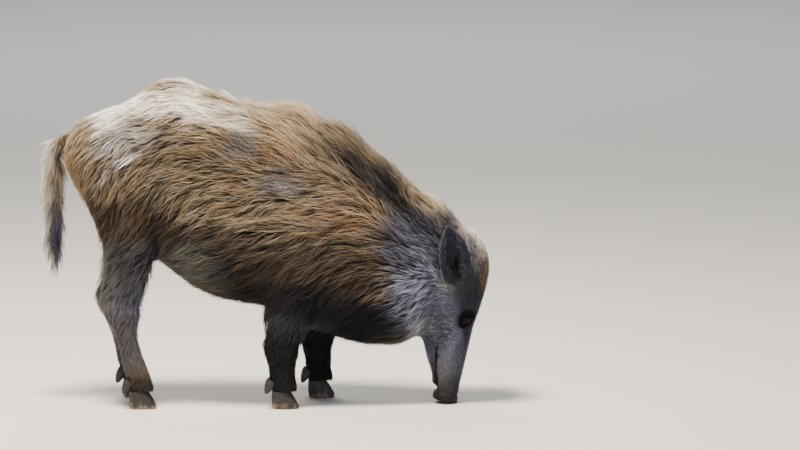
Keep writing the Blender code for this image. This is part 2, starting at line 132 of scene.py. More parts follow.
def settled(obj):
    """Swaps an object's mesh for what its modifiers make of it."""
    bpy.context.view_layer.update()
    graph = bpy.context.evaluated_depsgraph_get()
    mesh = bpy.data.meshes.new_from_object(obj.evaluated_get(graph), depsgraph=graph)
    obj.modifiers.clear()
    obj.data = mesh
    return obj


print("middle grey #808080 is", round(linear("#808080")[0], 3), "in linear light")

# %% [markdown]
# The frame's solids reach out to the tips of the coat. Landmarks for the face are set from its eyes:
# their centres, and the line of the profile from snout to forehead. "Up" runs along the profile from
# the snout, and "deep" runs from the profile back towards the jaw.

# %% Landmarks
def middle(node):
    """The centre of a node's box."""
    low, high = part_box(node)
    return (np.array(low) + np.array(high)) / 2


EYES = {side: middle(f"eye_{word}") for side, word in WORD.items()}
EYE_RADIUS = (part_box("eye_right")[1][2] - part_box("eye_right")[0][2]) / 2
LEAN = math.radians(14.8)          # how far the profile leans forwards
UP = np.array([math.sin(LEAN), 0, math.cos(LEAN)])
DEEP = np.array([-math.cos(LEAN), 0, math.sin(LEAN)])
EYE_UP, EYE_DEEP = 0.199, 0.030    # how far from the rim of the snout the eyes lie
SNOUT = (EYES[RIGHT] + EYES[LEFT]) / 2 - UP * EYE_UP - DEEP * EYE_DEEP


def head_places(spots):
    """How far up the profile and how deep behind it each spot lies."""
    away = spots - SNOUT
    return away @ UP, away @ DEEP


print("snout rim at", SNOUT.round(4), "eye radius", round(EYE_RADIUS, 4))

# %% [markdown]
# The comb chart says, for places on the sow's side, which way the hair lies, how long it is, and how
# thick the coat is there. On a boar, hair streams from the snout over the face and away from the ear
# and eye, stands up along the mane, lies back along the trunk, turns down over the haunch and hangs
# down the legs. Each row holds x and z in metres, the way the hair points in the side view, its
# length and the depth of the coat in millimetres.

# %% Comb chart
COMB = (
    # x, z, way x, way z, length, depth
    (-0.44, 0.600, -0.45, -0.90, 46, 17),     # behind the rump
    (-0.38, 0.655, -0.88, -0.42, 40, 13),
    (-0.30, 0.690, -0.95, -0.25, 40, 13),     # croup
    (-0.21, 0.740, -1.00, -0.08, 42, 14),
    (-0.13, 0.705, -0.99, 0.10, 50, 17),      # loin
    (-0.40, 0.520, -0.28, -0.96, 46, 17),
    (-0.34, 0.570, -0.72, -0.70, 52, 19),     # haunch
    (-0.30, 0.470, -0.45, -0.90, 50, 18),
    (-0.25, 0.540, -0.80, -0.60, 60, 21),
    (-0.20, 0.620, -0.96, -0.20, 62, 22),
    (-0.20, 0.460, -0.72, -0.68, 60, 20),
    (-0.14, 0.560, -0.97, 0.05, 68, 23),      # flank
    (-0.14, 0.470, -0.93, -0.38, 68, 23),
    (-0.14, 0.380, -0.88, -0.45, 62, 21),
    (-0.18, 0.330, -0.85, -0.50, 44, 17),
    (-0.10, 0.260, -0.98, -0.10, 48, 18),     # belly
    (0.00, 0.240, -0.97, -0.15, 50, 18),
    (-0.05, 0.610, -0.86, 0.45, 66, 23),
    (-0.02, 0.480, -0.96, -0.22, 70, 24),
    (0.00, 0.350, -0.85, -0.52, 66, 22),      # girth
    (0.04, 0.655, -0.80, 0.58, 74, 27),       # withers
    (0.07, 0.580, -0.88, 0.42, 72, 25),       # shoulder
    (0.10, 0.510, -0.98, 0.10, 72, 25),
    (0.17, 0.450, -0.98, -0.12, 70, 24),
    (0.23, 0.400, -1.00, 0.05, 66, 23),
    (0.14, 0.350, -0.80, -0.60, 66, 22),
    (0.05, 0.270, -0.62, -0.78, 56, 17),      # elbow
    (0.17, 0.230, -0.72, -0.68, 56, 18),      # chest
    (0.13, 0.640, -0.64, 0.77, 84, 38),       # mane
    (0.23, 0.585, -0.60, 0.80, 84, 38),
    (0.33, 0.505, -0.52, 0.86, 78, 30),
    (0.41, 0.440, -0.44, 0.90, 56, 20),       # nape
    (0.18, 0.560, -0.72, 0.66, 78, 30),       # below the mane
    (0.27, 0.485, -0.70, 0.70, 70, 26),
    (0.31, 0.410, -0.80, 0.58, 60, 22),       # neck
    (0.30, 0.330, -0.97, 0.20, 60, 22),
    (0.28, 0.260, -0.93, -0.36, 56, 21),
    (0.30, 0.180, -0.86, -0.45, 52, 19),      # throat
    (0.36, 0.345, -0.90, 0.42, 38, 14),       # behind the ear
    (0.36, 0.270, -0.90, -0.40, 38, 14),      # cheek
    (0.36, 0.200, -0.90, -0.36, 36, 14),
    (0.39, 0.170, -0.93, -0.15, 24, 9),
    (0.48, 0.375, -0.55, 0.84, 26, 9),        # poll
    (0.50, 0.310, -0.05, 1.00, 18, 6),        # forehead
    (0.47, 0.235, 0.05, 1.00, 12, 5),         # brow
    (0.43, 0.270, -0.70, 0.60, 20, 7),
    (0.42, 0.200, -0.90, 0.25, 18, 7),
    (0.44, 0.130, -0.35, 0.92, 10, 4),        # muzzle
    (0.42, 0.050, -0.20, 0.95, 7, 3),
    (0.37, 0.110, -0.40, 0.85, 14, 5),        # lower jaw
)
LEG_COMB = (
    # height, length, depth, down the free part of each leg
    (0.36, 46, 15),
    (0.28, 38, 11),
    (0.22, 28, 8),
    (0.15, 19, 6),
    (0.08, 16, 3),
    (0.03, 19, 2),
)
CHART_SOFT = 0.055**2 / 12    # how softly neighbouring rows of the chart blend
CHART_FALL = 1.8              # how fast the weight of a row falls with distance


def combed(spots, chart=np.array(COMB)):
    """The way of the hair, its length and the coat's depth in metres, blended from the chart."""
    away = ((spots[:, None, [0, 2]] - chart[None, :, :2]) ** 2).sum(2)
    weight = 1 / (away + CHART_SOFT) ** CHART_FALL
    weight /= weight.sum(1, keepdims=True)
    blended = weight @ chart[:, 2:]
    way = np.zeros_like(spots)
    way[:, 0], way[:, 2] = blended[:, 0], blended[:, 1]
    return way, blended[:, 2] / 1000, blended[:, 3] / 1000


def leg_combed(height):
    """Length and depth of the hair down a leg, in metres."""
    rows = np.array(LEG_COMB)[::-1]
    length, depth = (np.interp(height, rows[:, 0], rows[:, k]) / 1000 for k in (1, 2))
    return length, depth


LEGS = {                  # the lengths of each leg, from the ground up
    "fore": ("fore_pastern", "fore_cannon", "forearm"),
    "hind": ("hind_pastern", "hind_cannon", "shank"),
}
LEG_FREE = {"fore": (0.17, 0.27), "hind": (0.26, 0.38)}   # a leg's hair ends over these heights
LEG_REACH = (0.055, 0.090)                                # and these distances from its axis


def leg_share(spots):
    """1 on the free part of the legs, 0 on the body."""
    share = np.zeros(len(spots))
    for word in WORD.values():
        for limb, lengths in LEGS.items():
            line = np.array([middle(f"{length}_{word}") for length in lengths])
            axis = [np.interp(spots[:, 2], line[:, 2], line[:, k]) for k in (0, 1)]
            away = np.hypot(spots[:, 0] - axis[0], spots[:, 1] - axis[1])
            near = 1 - rise(away, *LEG_REACH)
            share = np.maximum(share, near * (1 - rise(spots[:, 2], *LEG_FREE[limb])))
    return share


print("comb chart:", len(COMB), "rows for the body and", len(LEG_COMB), "down a leg")

# %% [markdown]
# The manikin and its skin. The frame's solids of flesh are grown by a hair's breadth, so that their
# cuts close, and run together on a fine grid. The surface is then drawn in by the depth of the coat,
# which is deepest along the mane and next to nothing on the snout. Ears and snout disc keep their
# size. The whole is run together once more on a finer grid, so that there is one skin and no seam.

# %% Skin
SEPARATE = ("eye", "claw")
GROW = 0.0006             # a hair's breadth, so that the solids' cuts close
MANIKIN_VOXEL = 0.0045
MANIKIN_SMOOTHING = 4
SNOUT_COAT = 0.018, 0.050    # up the profile, from no coat to all of it
EAR_COAT = 0.004, 0.028      # distances from an ear over which the coat grows to its full depth
EAR_COAT_LEAST = 0.25        # how much of its depth it has right beside the ear


def joined(name, nodes, grow):
    """One object of the nodes' solids, each grown outwards."""
    mesh = bpy.data.meshes.new(name)
    with editing(mesh) as whole:
        for node in nodes:
            part = bpy.data.meshes.new("part")
            with editing(part) as solid:
                solid.from_mesh(bpy.data.objects[node].data)
                bmesh.ops.remove_doubles(solid, verts=solid.verts, dist=1e-6)
                solid.normal_update()
                for vertex in solid.verts:
                    vertex.co += vertex.normal * grow
            whole.from_mesh(part)
    return put(name, mesh)


def run_together(obj, voxel, smoothing):
    """Remeshes an object on a grid into one closed surface, and relaxes it."""
    grid = obj.modifiers.new("grid", "REMESH")
    grid.mode = "VOXEL"
    grid.voxel_size = voxel
    relax = obj.modifiers.new("relax", "SMOOTH")
    relax.factor = 0.5
    relax.iterations = smoothing
    return settled(obj)


def tree_of(nodes):
    """A search tree over the faces of the nodes' solids."""
    solids = joined("solids", nodes, 0)
    tree = BVHTree.FromObject(solids, bpy.context.evaluated_depsgraph_get())
    bpy.data.objects.remove(solids)
    return tree


def distances(tree, spots, reach):
    """How far each spot lies from a surface, or the reach where it is farther."""
    found = [tree.find_nearest(Vector(spot), reach)[3] for spot in spots]
    return np.array([reach if away is None else away for away in found])


flesh = [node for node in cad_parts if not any(word in node for word in SEPARATE)]
EARS = ["ear_right", "ear_left"]
small = [*EARS, "snout_disc", "tail", "tail_tuft"]
large = [node for node in flesh if node not in small] + ["eye_right", "eye_left"]
manikin = joined("manikin", large, GROW)
run_together(manikin, MANIKIN_VOXEL, MANIKIN_SMOOTHING)
ear_tree = tree_of(EARS)


def drawn_in(spots):
    """How far the skin lies inside the frame's solids."""
    depth = combed(spots)[2]
    legs = leg_share(spots)
    depth = depth * (1 - legs) + leg_combed(spots[:, 2])[1] * legs
    depth *= rise(head_places(spots)[0], *SNOUT_COAT)
    clear_of_ear = rise(distances(ear_tree, spots, 0.03), *EAR_COAT)
    return depth * (EAR_COAT_LEAST + (1 - EAR_COAT_LEAST) * clear_of_ear)


spots = points_of(manikin.data)
set_points(manikin.data, spots - normals_of(manikin.data) * drawn_in(spots)[:, None])
print("manikin:", len(spots), "vertices")

# %% One skin
SKIN_VOXEL = 0.0024
SKIN_SMOOTHING = 2
EAR_GROW = 0.0015         # more than elsewhere, so that the grid keeps the ears' thin rims
EAR_SMOOTHING = 12
TAIL_HAIR = (0.334, 0.36, 0.42, 0.60), (0.003, 0.008, 0.0105, 0.0085)    # its depth by height
TAIL_ROOT = (0.028, 0.598), (0.095, 0.622)    # its two ends: how far from the tail's rear, height
TAIL_ROOT_RADII = 0.010, 0.017


def tail_core():
    """The tail under its hair, run on into the rump."""
    tail = run_together(joined("tail_core", ["tail", "tail_tuft"], GROW), 0.003, 3)
    at = points_of(tail.data)
    depth = np.interp(at[:, 2], *TAIL_HAIR)
    set_points(tail.data, at - normals_of(tail.data) * depth[:, None])
    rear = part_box("tail")[0][0]
    low, high = (Vector((rear + along, 0, height)) for along, height in TAIL_ROOT)
    turn = (high - low).to_track_quat("Z", "Y").to_matrix().to_4x4()
    with editing(tail.data) as bm:
        bmesh.ops.create_cone(bm, cap_ends=True, segments=16, radius1=TAIL_ROOT_RADII[0],
                              radius2=TAIL_ROOT_RADII[1], depth=(high - low).length,
                              matrix=Matrix.Translation((low + high) / 2) @ turn)
    return tail


def merged(name, objects):
    """One object of several, which go."""
    mesh = bpy.data.meshes.new(name)
    with editing(mesh) as whole:
        for obj in objects:
            whole.from_mesh(obj.data)
            bpy.data.objects.remove(obj)
    return put(name, mesh)


def largest_only(obj):
    """Drops every loose bit but the largest."""
    bodies = []
    with editing(obj.data) as bm:
        left = set(bm.verts)
        while left:
            body, edge = set(), [left.pop()]
            while edge:
                vertex = edge.pop()
                body.add(vertex)
                for link in vertex.link_edges:
                    other = link.other_vert(vertex)
                    if other in left:
                        left.discard(other)
                        edge.append(other)
            bodies.append(body)
        bodies.sort(key=len)
        for body in bodies[:-1]:
            bmesh.ops.delete(bm, geom=list(body), context="VERTS")
    return len(bodies)


def smooth_ears():
    """Relaxes the thin rims of the ears, which the fine grid leaves ragged."""
    at = points_of(skin.data)
    group = skin.vertex_groups.new(name="ears")
    for word in WORD.values():
        low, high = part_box(f"ear_{word}")
        inside = ((at > np.array(low) - 0.004) & (at < np.array(high) + 0.004)).all(1)
        group.add([int(i) for i in np.nonzero(inside)[0]], 1.0, "REPLACE")
    relax = skin.modifiers.new("relax_ears", "SMOOTH")
    relax.vertex_group = "ears"
    relax.factor = 0.5
    relax.iterations = EAR_SMOOTHING
    settled(skin)


skin = merged("skin", [
    manikin,
    joined("ears_and_disc", [*EARS, "snout_disc"], EAR_GROW),
    tail_core(),
])
run_together(skin, SKIN_VOXEL, SKIN_SMOOTHING)
smooth_ears()
print("loose bits of skin:", largest_only(skin), "vertices:", len(skin.data.vertices))

# %% [markdown]
# Most of that skin is hidden by hair, so it is thinned where it is smooth. The head keeps its fine
# faces, because its hair is short and its shape shows through.

# %% Thin the skin
SKIN_TRIANGLES = 135000
HEAD_CARE = 2e-5          # how much dearer a face of the head is to the thinning
HEAD_END_DEEP, HEAD_END_UP = (0.085, 0.135), (0.36, 0.40)     # where the neck begins


def triangles_of(mesh):
    """How many triangles a mesh has."""
    return sum(len(face.vertices) - 2 for face in mesh.polygons)


def thin_skin():
    """Merges the skin's small flat faces, first of all on the body."""
    up, deep = head_places(points_of(skin.data))
    body = np.round(rise(deep, *HEAD_END_DEEP) + rise(up, *HEAD_END_UP), 1).clip(0, 1)
    group = skin.vertex_groups.new(name="body")
    for weight in np.unique(body):
        group.add([int(i) for i in np.nonzero(body == weight)[0]], float(weight), "REPLACE")
    thin = skin.modifiers.new("thin", "DECIMATE")
    thin.vertex_group = "body"
    thin.vertex_group_factor = HEAD_CARE
    thin.ratio = SKIN_TRIANGLES / triangles_of(skin.data)
    settled(skin)
    skin.vertex_groups.clear()


thin_skin()
print("skin:", triangles_of(skin.data), "triangles")

# %% [markdown]
# The face is modelled on the skin as a sculptor would. The skin round each eye and along the lips is
# divided finer. Then it is pressed to the eyeball: the lids lie on the ball round an almond opening,
# whose inner corner points at the snout. A ridge of brow stands over the eye, hollows lie before and
# behind it, and a groove between the lips ends in the corner of the mouth.

# %% Face
LID_HALF_LENGTH, LID_HALF_HEIGHT = 0.0105, 0.0076
LID_THICKNESS = 0.0012
LID_SPREAD = 0.013        # how far the lids reach over the cheek before they fade into it
LID_EDGE = 0.0012         # beyond the opening's edge, where the lids are at their full thickness
BEHIND_BALL = 0.0030      # how deep the skin lies inside the ball, within the opening
LID_ZONE = 0.036          # how far from the eye's centre the skin is shaped
EYE_ZONE, LIP_ZONE = 0.026, 0.010      # how far round the eyes and the lips it is divided finer
LID_FOLD = (0.0052, 0.0012, 0.0011)    # the crease round the lids: distance, width, depth
ALONG_EYE = UP * 0.92 + DEEP * 0.32    # the way from the inner corner of the eye to the outer one
MOUTH_FRONT, MOUTH_CORNER = (0.028, 0.050), (0.132, 0.076)     # up the profile, and deep behind it
MOUTH_SAG = 0.0045
MOUTH_START, MOUTH_END = (-0.04, 0.04), (0.92, 1.04)    # shares of its length over which it fades
LIP_HALF_WIDTH, LIP_DEPTH = 0.0034, 0.0034
UPPER_LIP = (0.006, 0.004, 0.0014)     # its bulge: how far before the groove, width, height
FLOOR_CLEARANCE = 0.0003
FACE_FORMS = (
    # towards the ear, towards the jaw, height, size
    (0.006, -0.017, 0.0040, 0.011),     # brow
    (0.002, 0.021, 0.0026, 0.012),      # cheekbone
    (-0.024, 0.006, -0.0030, 0.012),    # hollow before the inner corner
    (0.022, 0.010, -0.0020, 0.011),     # hollow behind the outer corner
)


def mouth_offset(spots):
    """How far each spot lies from the line of the lips, and 1 along that line's length."""
    up, deep = head_places(spots)
    (up0, deep0), (up1, deep1) = MOUTH_FRONT, MOUTH_CORNER
    share = (up - up0) / (up1 - up0)
    sag = MOUTH_SAG * np.sin(math.pi * np.clip(share, 0, 1) ** 0.8)
    run = rise(share, *MOUTH_START) * (1 - rise(share, *MOUTH_END))
    return deep - (deep0 + share * (deep1 - deep0) + sag), run


def divide_near(obj, near):
    """Divides the faces finer whose middle is near something, as told by a function of places."""
    with editing(obj.data) as bm:
        centres = np.array([face.calc_center_median() for face in bm.faces])
        bm.faces.ensure_lookup_table()
        edges = {edge for i in np.nonzero(near(centres))[0] for edge in bm.faces[int(i)].edges}
        bmesh.ops.subdivide_edges(bm, edges=list(edges), cuts=1, use_grid_fill=True)
        bmesh.ops.triangulate(bm, faces=[face for face in bm.faces if len(face.verts) > 4])


print("mouth line of", round(math.dist(MOUTH_FRONT, MOUTH_CORNER), 3), "m, eye opening of",
      2 * LID_HALF_LENGTH, "by", 2 * LID_HALF_HEIGHT, "m")

# %% Sculpt the face
def eye_axes(side):
    """The way out of the eye, along its opening towards the ear, and across it towards the jaw."""
    near = np.linalg.norm(spots - EYES[side], axis=1) < EYE_RADIUS * 1.8
    out = unit(bare_normals[near].mean(0))
    along = unit(ALONG_EYE - out * (ALONG_EYE @ out))
    across = DEEP - out * (DEEP @ out) - along * (DEEP @ along)
    return out, along, unit(across)


def set_forms(spots, side):
    """Raises the brow and the cheekbone of one eye, and presses the hollows beside it."""
    out, along, across = AXES[side]
    for a, b, height, size in FACE_FORMS:
        centre = EYES[side] + along * a + across * b + out * EYE_RADIUS
        fall = np.exp(-((spots - centre) ** 2).sum(1) / size**2)
        spots = spots + out * (fall * height)[:, None]
    return spots


def set_lids(spots, side):
    """Presses the skin round one eye to its ball, and opens the lids."""
    out, along, across = AXES[side]
    away = spots - EYES[side]
    a, b, height = away @ along, away @ across, away @ out
    near = (np.linalg.norm(away, axis=1) < LID_ZONE) & (height > 0)
    flat = np.hypot(a, b)
    rim = flat / np.maximum(np.hypot(a / LID_HALF_LENGTH, b / LID_HALF_HEIGHT), 1e-6)
    beyond = flat - rim
    reach = np.minimum(np.minimum(flat, rim * 1.15), EYE_RADIUS * 0.95)
    ball = np.sqrt(EYE_RADIUS**2 - reach**2)
    lid = ball + np.interp(beyond, (-0.005, 0, LID_EDGE), (-BEHIND_BALL, 0, LID_THICKNESS))
    hold = 1 - rise(beyond, 0.0018, LID_SPREAD)
    crease, width, fold_depth = LID_FOLD
    fold = fold_depth * np.exp(-((beyond - crease) / width) ** 2)
    target = lid * hold + height * (1 - hold) - fold
    moved = along * a[:, None] + across * b[:, None] + out * target[:, None]
    return np.where(near[:, None], EYES[side] + moved, spots)


def set_mouth(spots, normals):
    """Presses the line of the lips in, and lets the upper lip stand over the lower one."""
    off, run = mouth_offset(spots)
    groove = np.exp(-(off / LIP_HALF_WIDTH) ** 2) * LIP_DEPTH
    before, width, height = UPPER_LIP
    lip = np.exp(-((off + before) / width) ** 2) * height
    return spots + normals * ((lip - groove) * run)[:, None]


def near_mouth(spots):
    """Which places lie along the lips."""
    off, run = mouth_offset(spots)
    return (np.abs(off) < LIP_ZONE) & (run > 0)


def near_eye(spots):
    """Which places lie round either eye."""
    away = [np.linalg.norm(spots - eye, axis=1) for eye in EYES.values()]
    return np.min(away, axis=0) < EYE_ZONE


for near in ((near_mouth, near_eye, near_eye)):
    divide_near(skin, near)
spots, bare_normals = points_of(skin.data), normals_of(skin.data)
AXES = {side: eye_axes(side) for side in (RIGHT, LEFT)}
spots = set_mouth(spots, bare_normals)
for side in (RIGHT, LEFT):
    spots = set_lids(set_forms(spots, side), side)
spots[:, 2] = np.maximum(spots[:, 2], FLOOR_CLEARANCE)
set_points(skin.data, spots)
skin.data.shade_smooth()
print("face modelled, skin:", triangles_of(skin.data), "triangles")

# %% [markdown]
# The coat's colours are those of a European boar in summer. The bristles are dark at the root and
# paler at the tip, and a few kinds of them cover the whole animal: cream on the croup, ochre on the
# flanks, rust behind the thighs, a greyer brown on neck and mane, slate on the cheeks and nearly
# black on muzzle, ears and legs. The croup's cream is partly its pale hair and partly painted
# sunlight. The markings lay those kinds over each other as soft patches, named after the part of the
# body that they cover, and are worked out alike for the skin and for the hair. Some of them are
# painted light and shade: painted shade on the upper flank, in its fold, in the hollow by the ribs,
# on the loin, haunch and low flank, and painted light on the shoulder.

# %% Markings
KINDS = {                 # root and tip of each kind of bristle, dark and pale spots of bare hide
    "ochre": ("#2b2017", "#897862"),
    "tan": ("#4b3b2a", "#b5a080"),
    # cream: pale hair, so near white that on the croup it also paints sunlight
    "cream": ("#ddcfbb", "#fffdf6"),
    "rust": ("#32231a", "#896c52"),
    "umber": ("#1a130c", "#54483b"),
    "olive": ("#191710", "#4d4a3b"),
    "ash": ("#4d4946", "#cbc6c2"),
    "slate": ("#262834", "#9196ae"),
    "lichen": ("#272724", "#87877f"),
    "char": ("#12131a", "#474959"),
    "black": ("#050508", "#171820"),
    "hide": ("#120f11", "#2b2629"),     # bare skin
    # near black for the lids and the ears' openings: dark skin and painted shade
    "pitch": ("#020203", "#09090b"),    # the lids
}
MARKINGS = (
    # part, kind, x, z, half length, half height, tilt in degrees, strength
    # the later ones lie over the earlier
    ("flank", "ochre", -0.10, 0.48, 0.45, 0.30, 0, 1.0),
    ("back", "tan", -0.12, 0.700, 0.34, 0.070, -5, 0.85),
    ("spine", "ochre", -0.150, 0.735, 0.090, 0.022, -8, 0.35),
    # the croup's cream is its pale hair plus painted sunlight on the top of the back, brightest on
    # the crest
    ("croup, rear, pale hair and painted sunlight", "cream", -0.355, 0.668, 0.115, 0.026, 22, 1.0),
    ("croup, middle, pale hair and painted sunlight", "cream", -0.220, 0.690, 0.110, 0.026, -3, 1.0),
    ("croup, crest, pale hair and painted highlight", "cream", -0.190, 0.722, 0.045, 0.014, -5, 0.5),
    ("croup, front, pale hair and painted sunlight", "cream", -0.140, 0.672, 0.055, 0.020, -26, 0.9),
    ("loin", "tan", -0.068, 0.650, 0.070, 0.024, -30, 0.9),
    ("loin, pale hair", "cream", -0.078, 0.659, 0.060, 0.016, -27, 0.55),
    ("rump", "ash", -0.345, 0.612, 0.085, 0.036, 14, 0.75),
    ("behind the rump", "tan", -0.432, 0.590, 0.040, 0.090, -8, 1.0),
    ("behind the thigh", "rust", -0.440, 0.500, 0.045, 0.080, -12, 0.60),
    # painted shade: the upper flank faces up to the lamp, so its hair is darkened to stand for shade
    ("upper flank, painted shade", "umber", -0.170, 0.580, 0.095, 0.032, -8, 0.35),
    ("loin shadow", "char", -0.045, 0.602, 0.042, 0.026, -45, 0.60),
    ("ribs", "rust", 0.03, 0.575, 0.060, 0.035, -30, 0.55),
    ("withers", "tan", 0.060, 0.640, 0.080, 0.040, -20, 0.60),
    ("mane", "ochre", 0.21, 0.605, 0.19, 0.050, -36, 0.85),
    ("mane, dark bristles", "umber", 0.26, 0.560, 0.17, 0.035, -40, 0.50),
    # painted shade: the hollow behind the shoulder, by the ribs, is darkened
    ("rib hollow, painted shade", "char", 0.040, 0.520, 0.050, 0.028, -22, 0.65),
    ("haunch", "umber", -0.340, 0.448, 0.110, 0.050, 12, 0.95),
    ("haunch, shade", "black", -0.350, 0.450, 0.085, 0.042, 12, 0.40),
    ("haunch, rusty hair", "rust", -0.350, 0.458, 0.075, 0.040, 12, 0.30),
    ("thigh", "umber", -0.36, 0.375, 0.060, 0.100, 0, 0.75),
    # painted shade: the fold between the flank and the thigh is painted black
    ("flank fold, painted shade", "black", -0.245, 0.402, 0.040, 0.058, -30, 1.0),
    ("low flank", "umber", -0.06, 0.352, 0.22, 0.060, -14, 1.0),
    ("low flank, shade", "black", -0.08, 0.352, 0.12, 0.040, -14, 0.42),
    ("belly", "black", -0.03, 0.275, 0.26, 0.050, -10, 0.72),
    ("groin", "lichen", -0.165, 0.335, 0.068, 0.050, -30, 0.60),
    ("girth", "umber", 0.000, 0.355, 0.060, 0.060, -20, 0.90),
    ("shoulder", "rust", 0.205, 0.450, 0.080, 0.060, -20, 0.60),
    # painted light: the shoulder's hair is lightened where the lamps leave it in shade
    ("shoulder, painted light", "tan", 0.228, 0.460, 0.050, 0.032, -30, 0.45),
    ("shoulder, dark hair", "umber", 0.160, 0.398, 0.060, 0.036, -15, 0.35),
    ("low shoulder", "umber", 0.13, 0.330, 0.15, 0.062, -8, 0.95),
    ("elbow", "black", 0.06, 0.250, 0.16, 0.050, 0, 0.85),
    ("chest", "black", 0.20, 0.205, 0.17, 0.052, 0, 1.0),
    ("side of the neck", "slate", 0.345, 0.305, 0.065, 0.150, 0, 0.95),
    ("neck, upper half", "char", 0.315, 0.385, 0.065, 0.070, -35, 0.80),
    ("below the mane", "black", 0.252, 0.504, 0.150, 0.025, -39, 0.90),
    ("nape", "tan", 0.405, 0.457, 0.090, 0.032, -44, 0.95),
    ("crest of the neck", "ochre", 0.335, 0.492, 0.050, 0.024, -42, 0.95),
    ("crest, dark hair", "umber", 0.330, 0.490, 0.045, 0.024, -42, 0.35),
    ("poll", "ash", 0.482, 0.375, 0.026, 0.060, -14, 0.65),
    ("forehead", "ochre", 0.500, 0.300, 0.022, 0.070, -4, 0.70),
    ("cheek", "slate", 0.400, 0.200, 0.080, 0.110, 0, 1.0),
    ("cheek, pale hair", "ash", 0.362, 0.185, 0.045, 0.042, 0, 0.30),
    ("muzzle, front", "char", 0.460, 0.110, 0.030, 0.120, -14, 0.80),
    ("jowl", "olive", 0.335, 0.140, 0.060, 0.035, 0, 0.45),
    ("temple", "char", 0.455, 0.300, 0.030, 0.090, -6, 0.80),
    ("behind the ear", "black", 0.394, 0.380, 0.026, 0.052, 8, 0.75),
    ("above the ear", "char", 0.425, 0.408, 0.045, 0.014, -38, 0.70),
    ("below the ear", "ash", 0.405, 0.285, 0.028, 0.011, -8, 0.55),
    ("brow", "char", 0.472, 0.225, 0.034, 0.060, -12, 0.85),
    ("muzzle", "slate", 0.430, 0.080, 0.085, 0.110, -15, 0.40),
    ("gaskin", "char", -0.305, 0.290, 0.070, 0.100, 0, 0.75),
    ("hock", "slate", -0.330, 0.180, 0.090, 0.100, 0, 0.40),
    ("behind the gaskin", "lichen", -0.362, 0.290, 0.026, 0.080, 0, 0.55),
    ("hind cannon", "char", -0.300, 0.140, 0.090, 0.070, 0, 0.35),
    ("forearm", "black", 0.100, 0.122, 0.200, 0.105, 0, 0.98),
    ("forearm, upper", "slate", 0.060, 0.190, 0.080, 0.030, 0, 0.12),
    ("feet", "black", -0.100, 0.020, 0.600, 0.050, 0, 0.80),
)
EDGE = 0.35               # how soft the edge of a patch is
SEEN_AT = 0.60            # a lock is seen this far along, so its marking is taken from there
MUD = (
    # x, z, half length, half height, tilt, strength: smears of dried mud
    (-0.378, 0.523, 0.032, 0.010, 70, 1.0),
    (-0.321, 0.570, 0.022, 0.012, 25, 1.0),
    (-0.350, 0.600, 0.050, 0.022, 20, 0.35),
    (0.045, 0.518, 0.040, 0.018, -24, 0.70),
    (0.142, 0.488, 0.024, 0.006, 35, 0.85),
)
MUD_SHIFT = (0.045, -0.030)    # the left side's smears lie elsewhere
print(len(KINDS), "kinds in", len(MARKINGS), "patches, and", len(MUD), "smears of mud")

# %% Painting
DRIFT_SIZE, DRIFT, DRIFT_SEEDS = 0.05, 0.020, (3, 11)     # noise that frays the patches' outlines
CLOD_SIZE, CLOD_SEED, CLOD_LIMITS = 0.012, 29, (-0.10, 0.20)     # noise that breaks the mud up
MUD_EDGE = 0.5


def wobble(spots, size, depth, seed):
    """Smooth noise of about that size at each spot, between plus and minus that depth."""
    return depth * np.array([noise.noise(Vector(p) / size + Vector((seed, 0, 0))) for p in spots])


def patch(spots, x, z, half_x, half_z, tilt, edge=EDGE):
    """1 inside a tilted oval on the sow's side, fading to 0 across its edge."""
    turn = math.radians(tilt)
    dx, dz = spots[:, 0] - x, spots[:, 2] - z
    along = dx * math.cos(turn) + dz * math.sin(turn)
    across = dz * math.cos(turn) - dx * math.sin(turn)
    return 1 - rise(np.hypot(along / half_x, across / half_z), 1 - edge, 1 + edge)


def paint(root, tip, kind, share):
    """Lays a kind of bristle over the colours of root and tip, by that share at each spot."""
    for colours, hex_colour in zip((root, tip), KINDS[kind]):
        colours += (np.array(linear(hex_colour)) - colours) * share[:, None]


def markings(spots):
    """Colour of the root and of the tip of the hair that grows at each spot."""
    drift = np.stack([wobble(spots, DRIFT_SIZE, DRIFT, seed) for seed in DRIFT_SEEDS], 1)
    moved = spots.copy()
    moved[:, [0, 2]] += drift
    root, tip = (np.tile(linear(colour), (len(spots), 1)) for colour in KINDS["ochre"])
    for _, kind, x, z, half_x, half_z, tilt, strength in MARKINGS:
        paint(root, tip, kind, patch(moved, x, z, half_x, half_z, tilt) * strength)
    return root, tip


def mud_on(spots):
    """How much dried mud sticks to each spot."""
    clods = wobble(spots, CLOD_SIZE, 1.0, CLOD_SEED)
    moved = spots.copy()
    moved[spots[:, 1] > 0] -= (MUD_SHIFT[0], 0, MUD_SHIFT[1])
    smears = [patch(moved, *oval, edge=MUD_EDGE) * strength for *oval, strength in MUD]
    return np.max(smears, axis=0) * rise(clods, *CLOD_LIMITS)


print("outlines drift by up to", DRIFT, "m")

# %% [markdown]
# The comb chart and the markings are now written onto the skin as attributes, which the hair reads
# where it is rooted. Ears, tail and legs have a lie of their own: along the ear to its tip, down the
# tail, and down the leg.

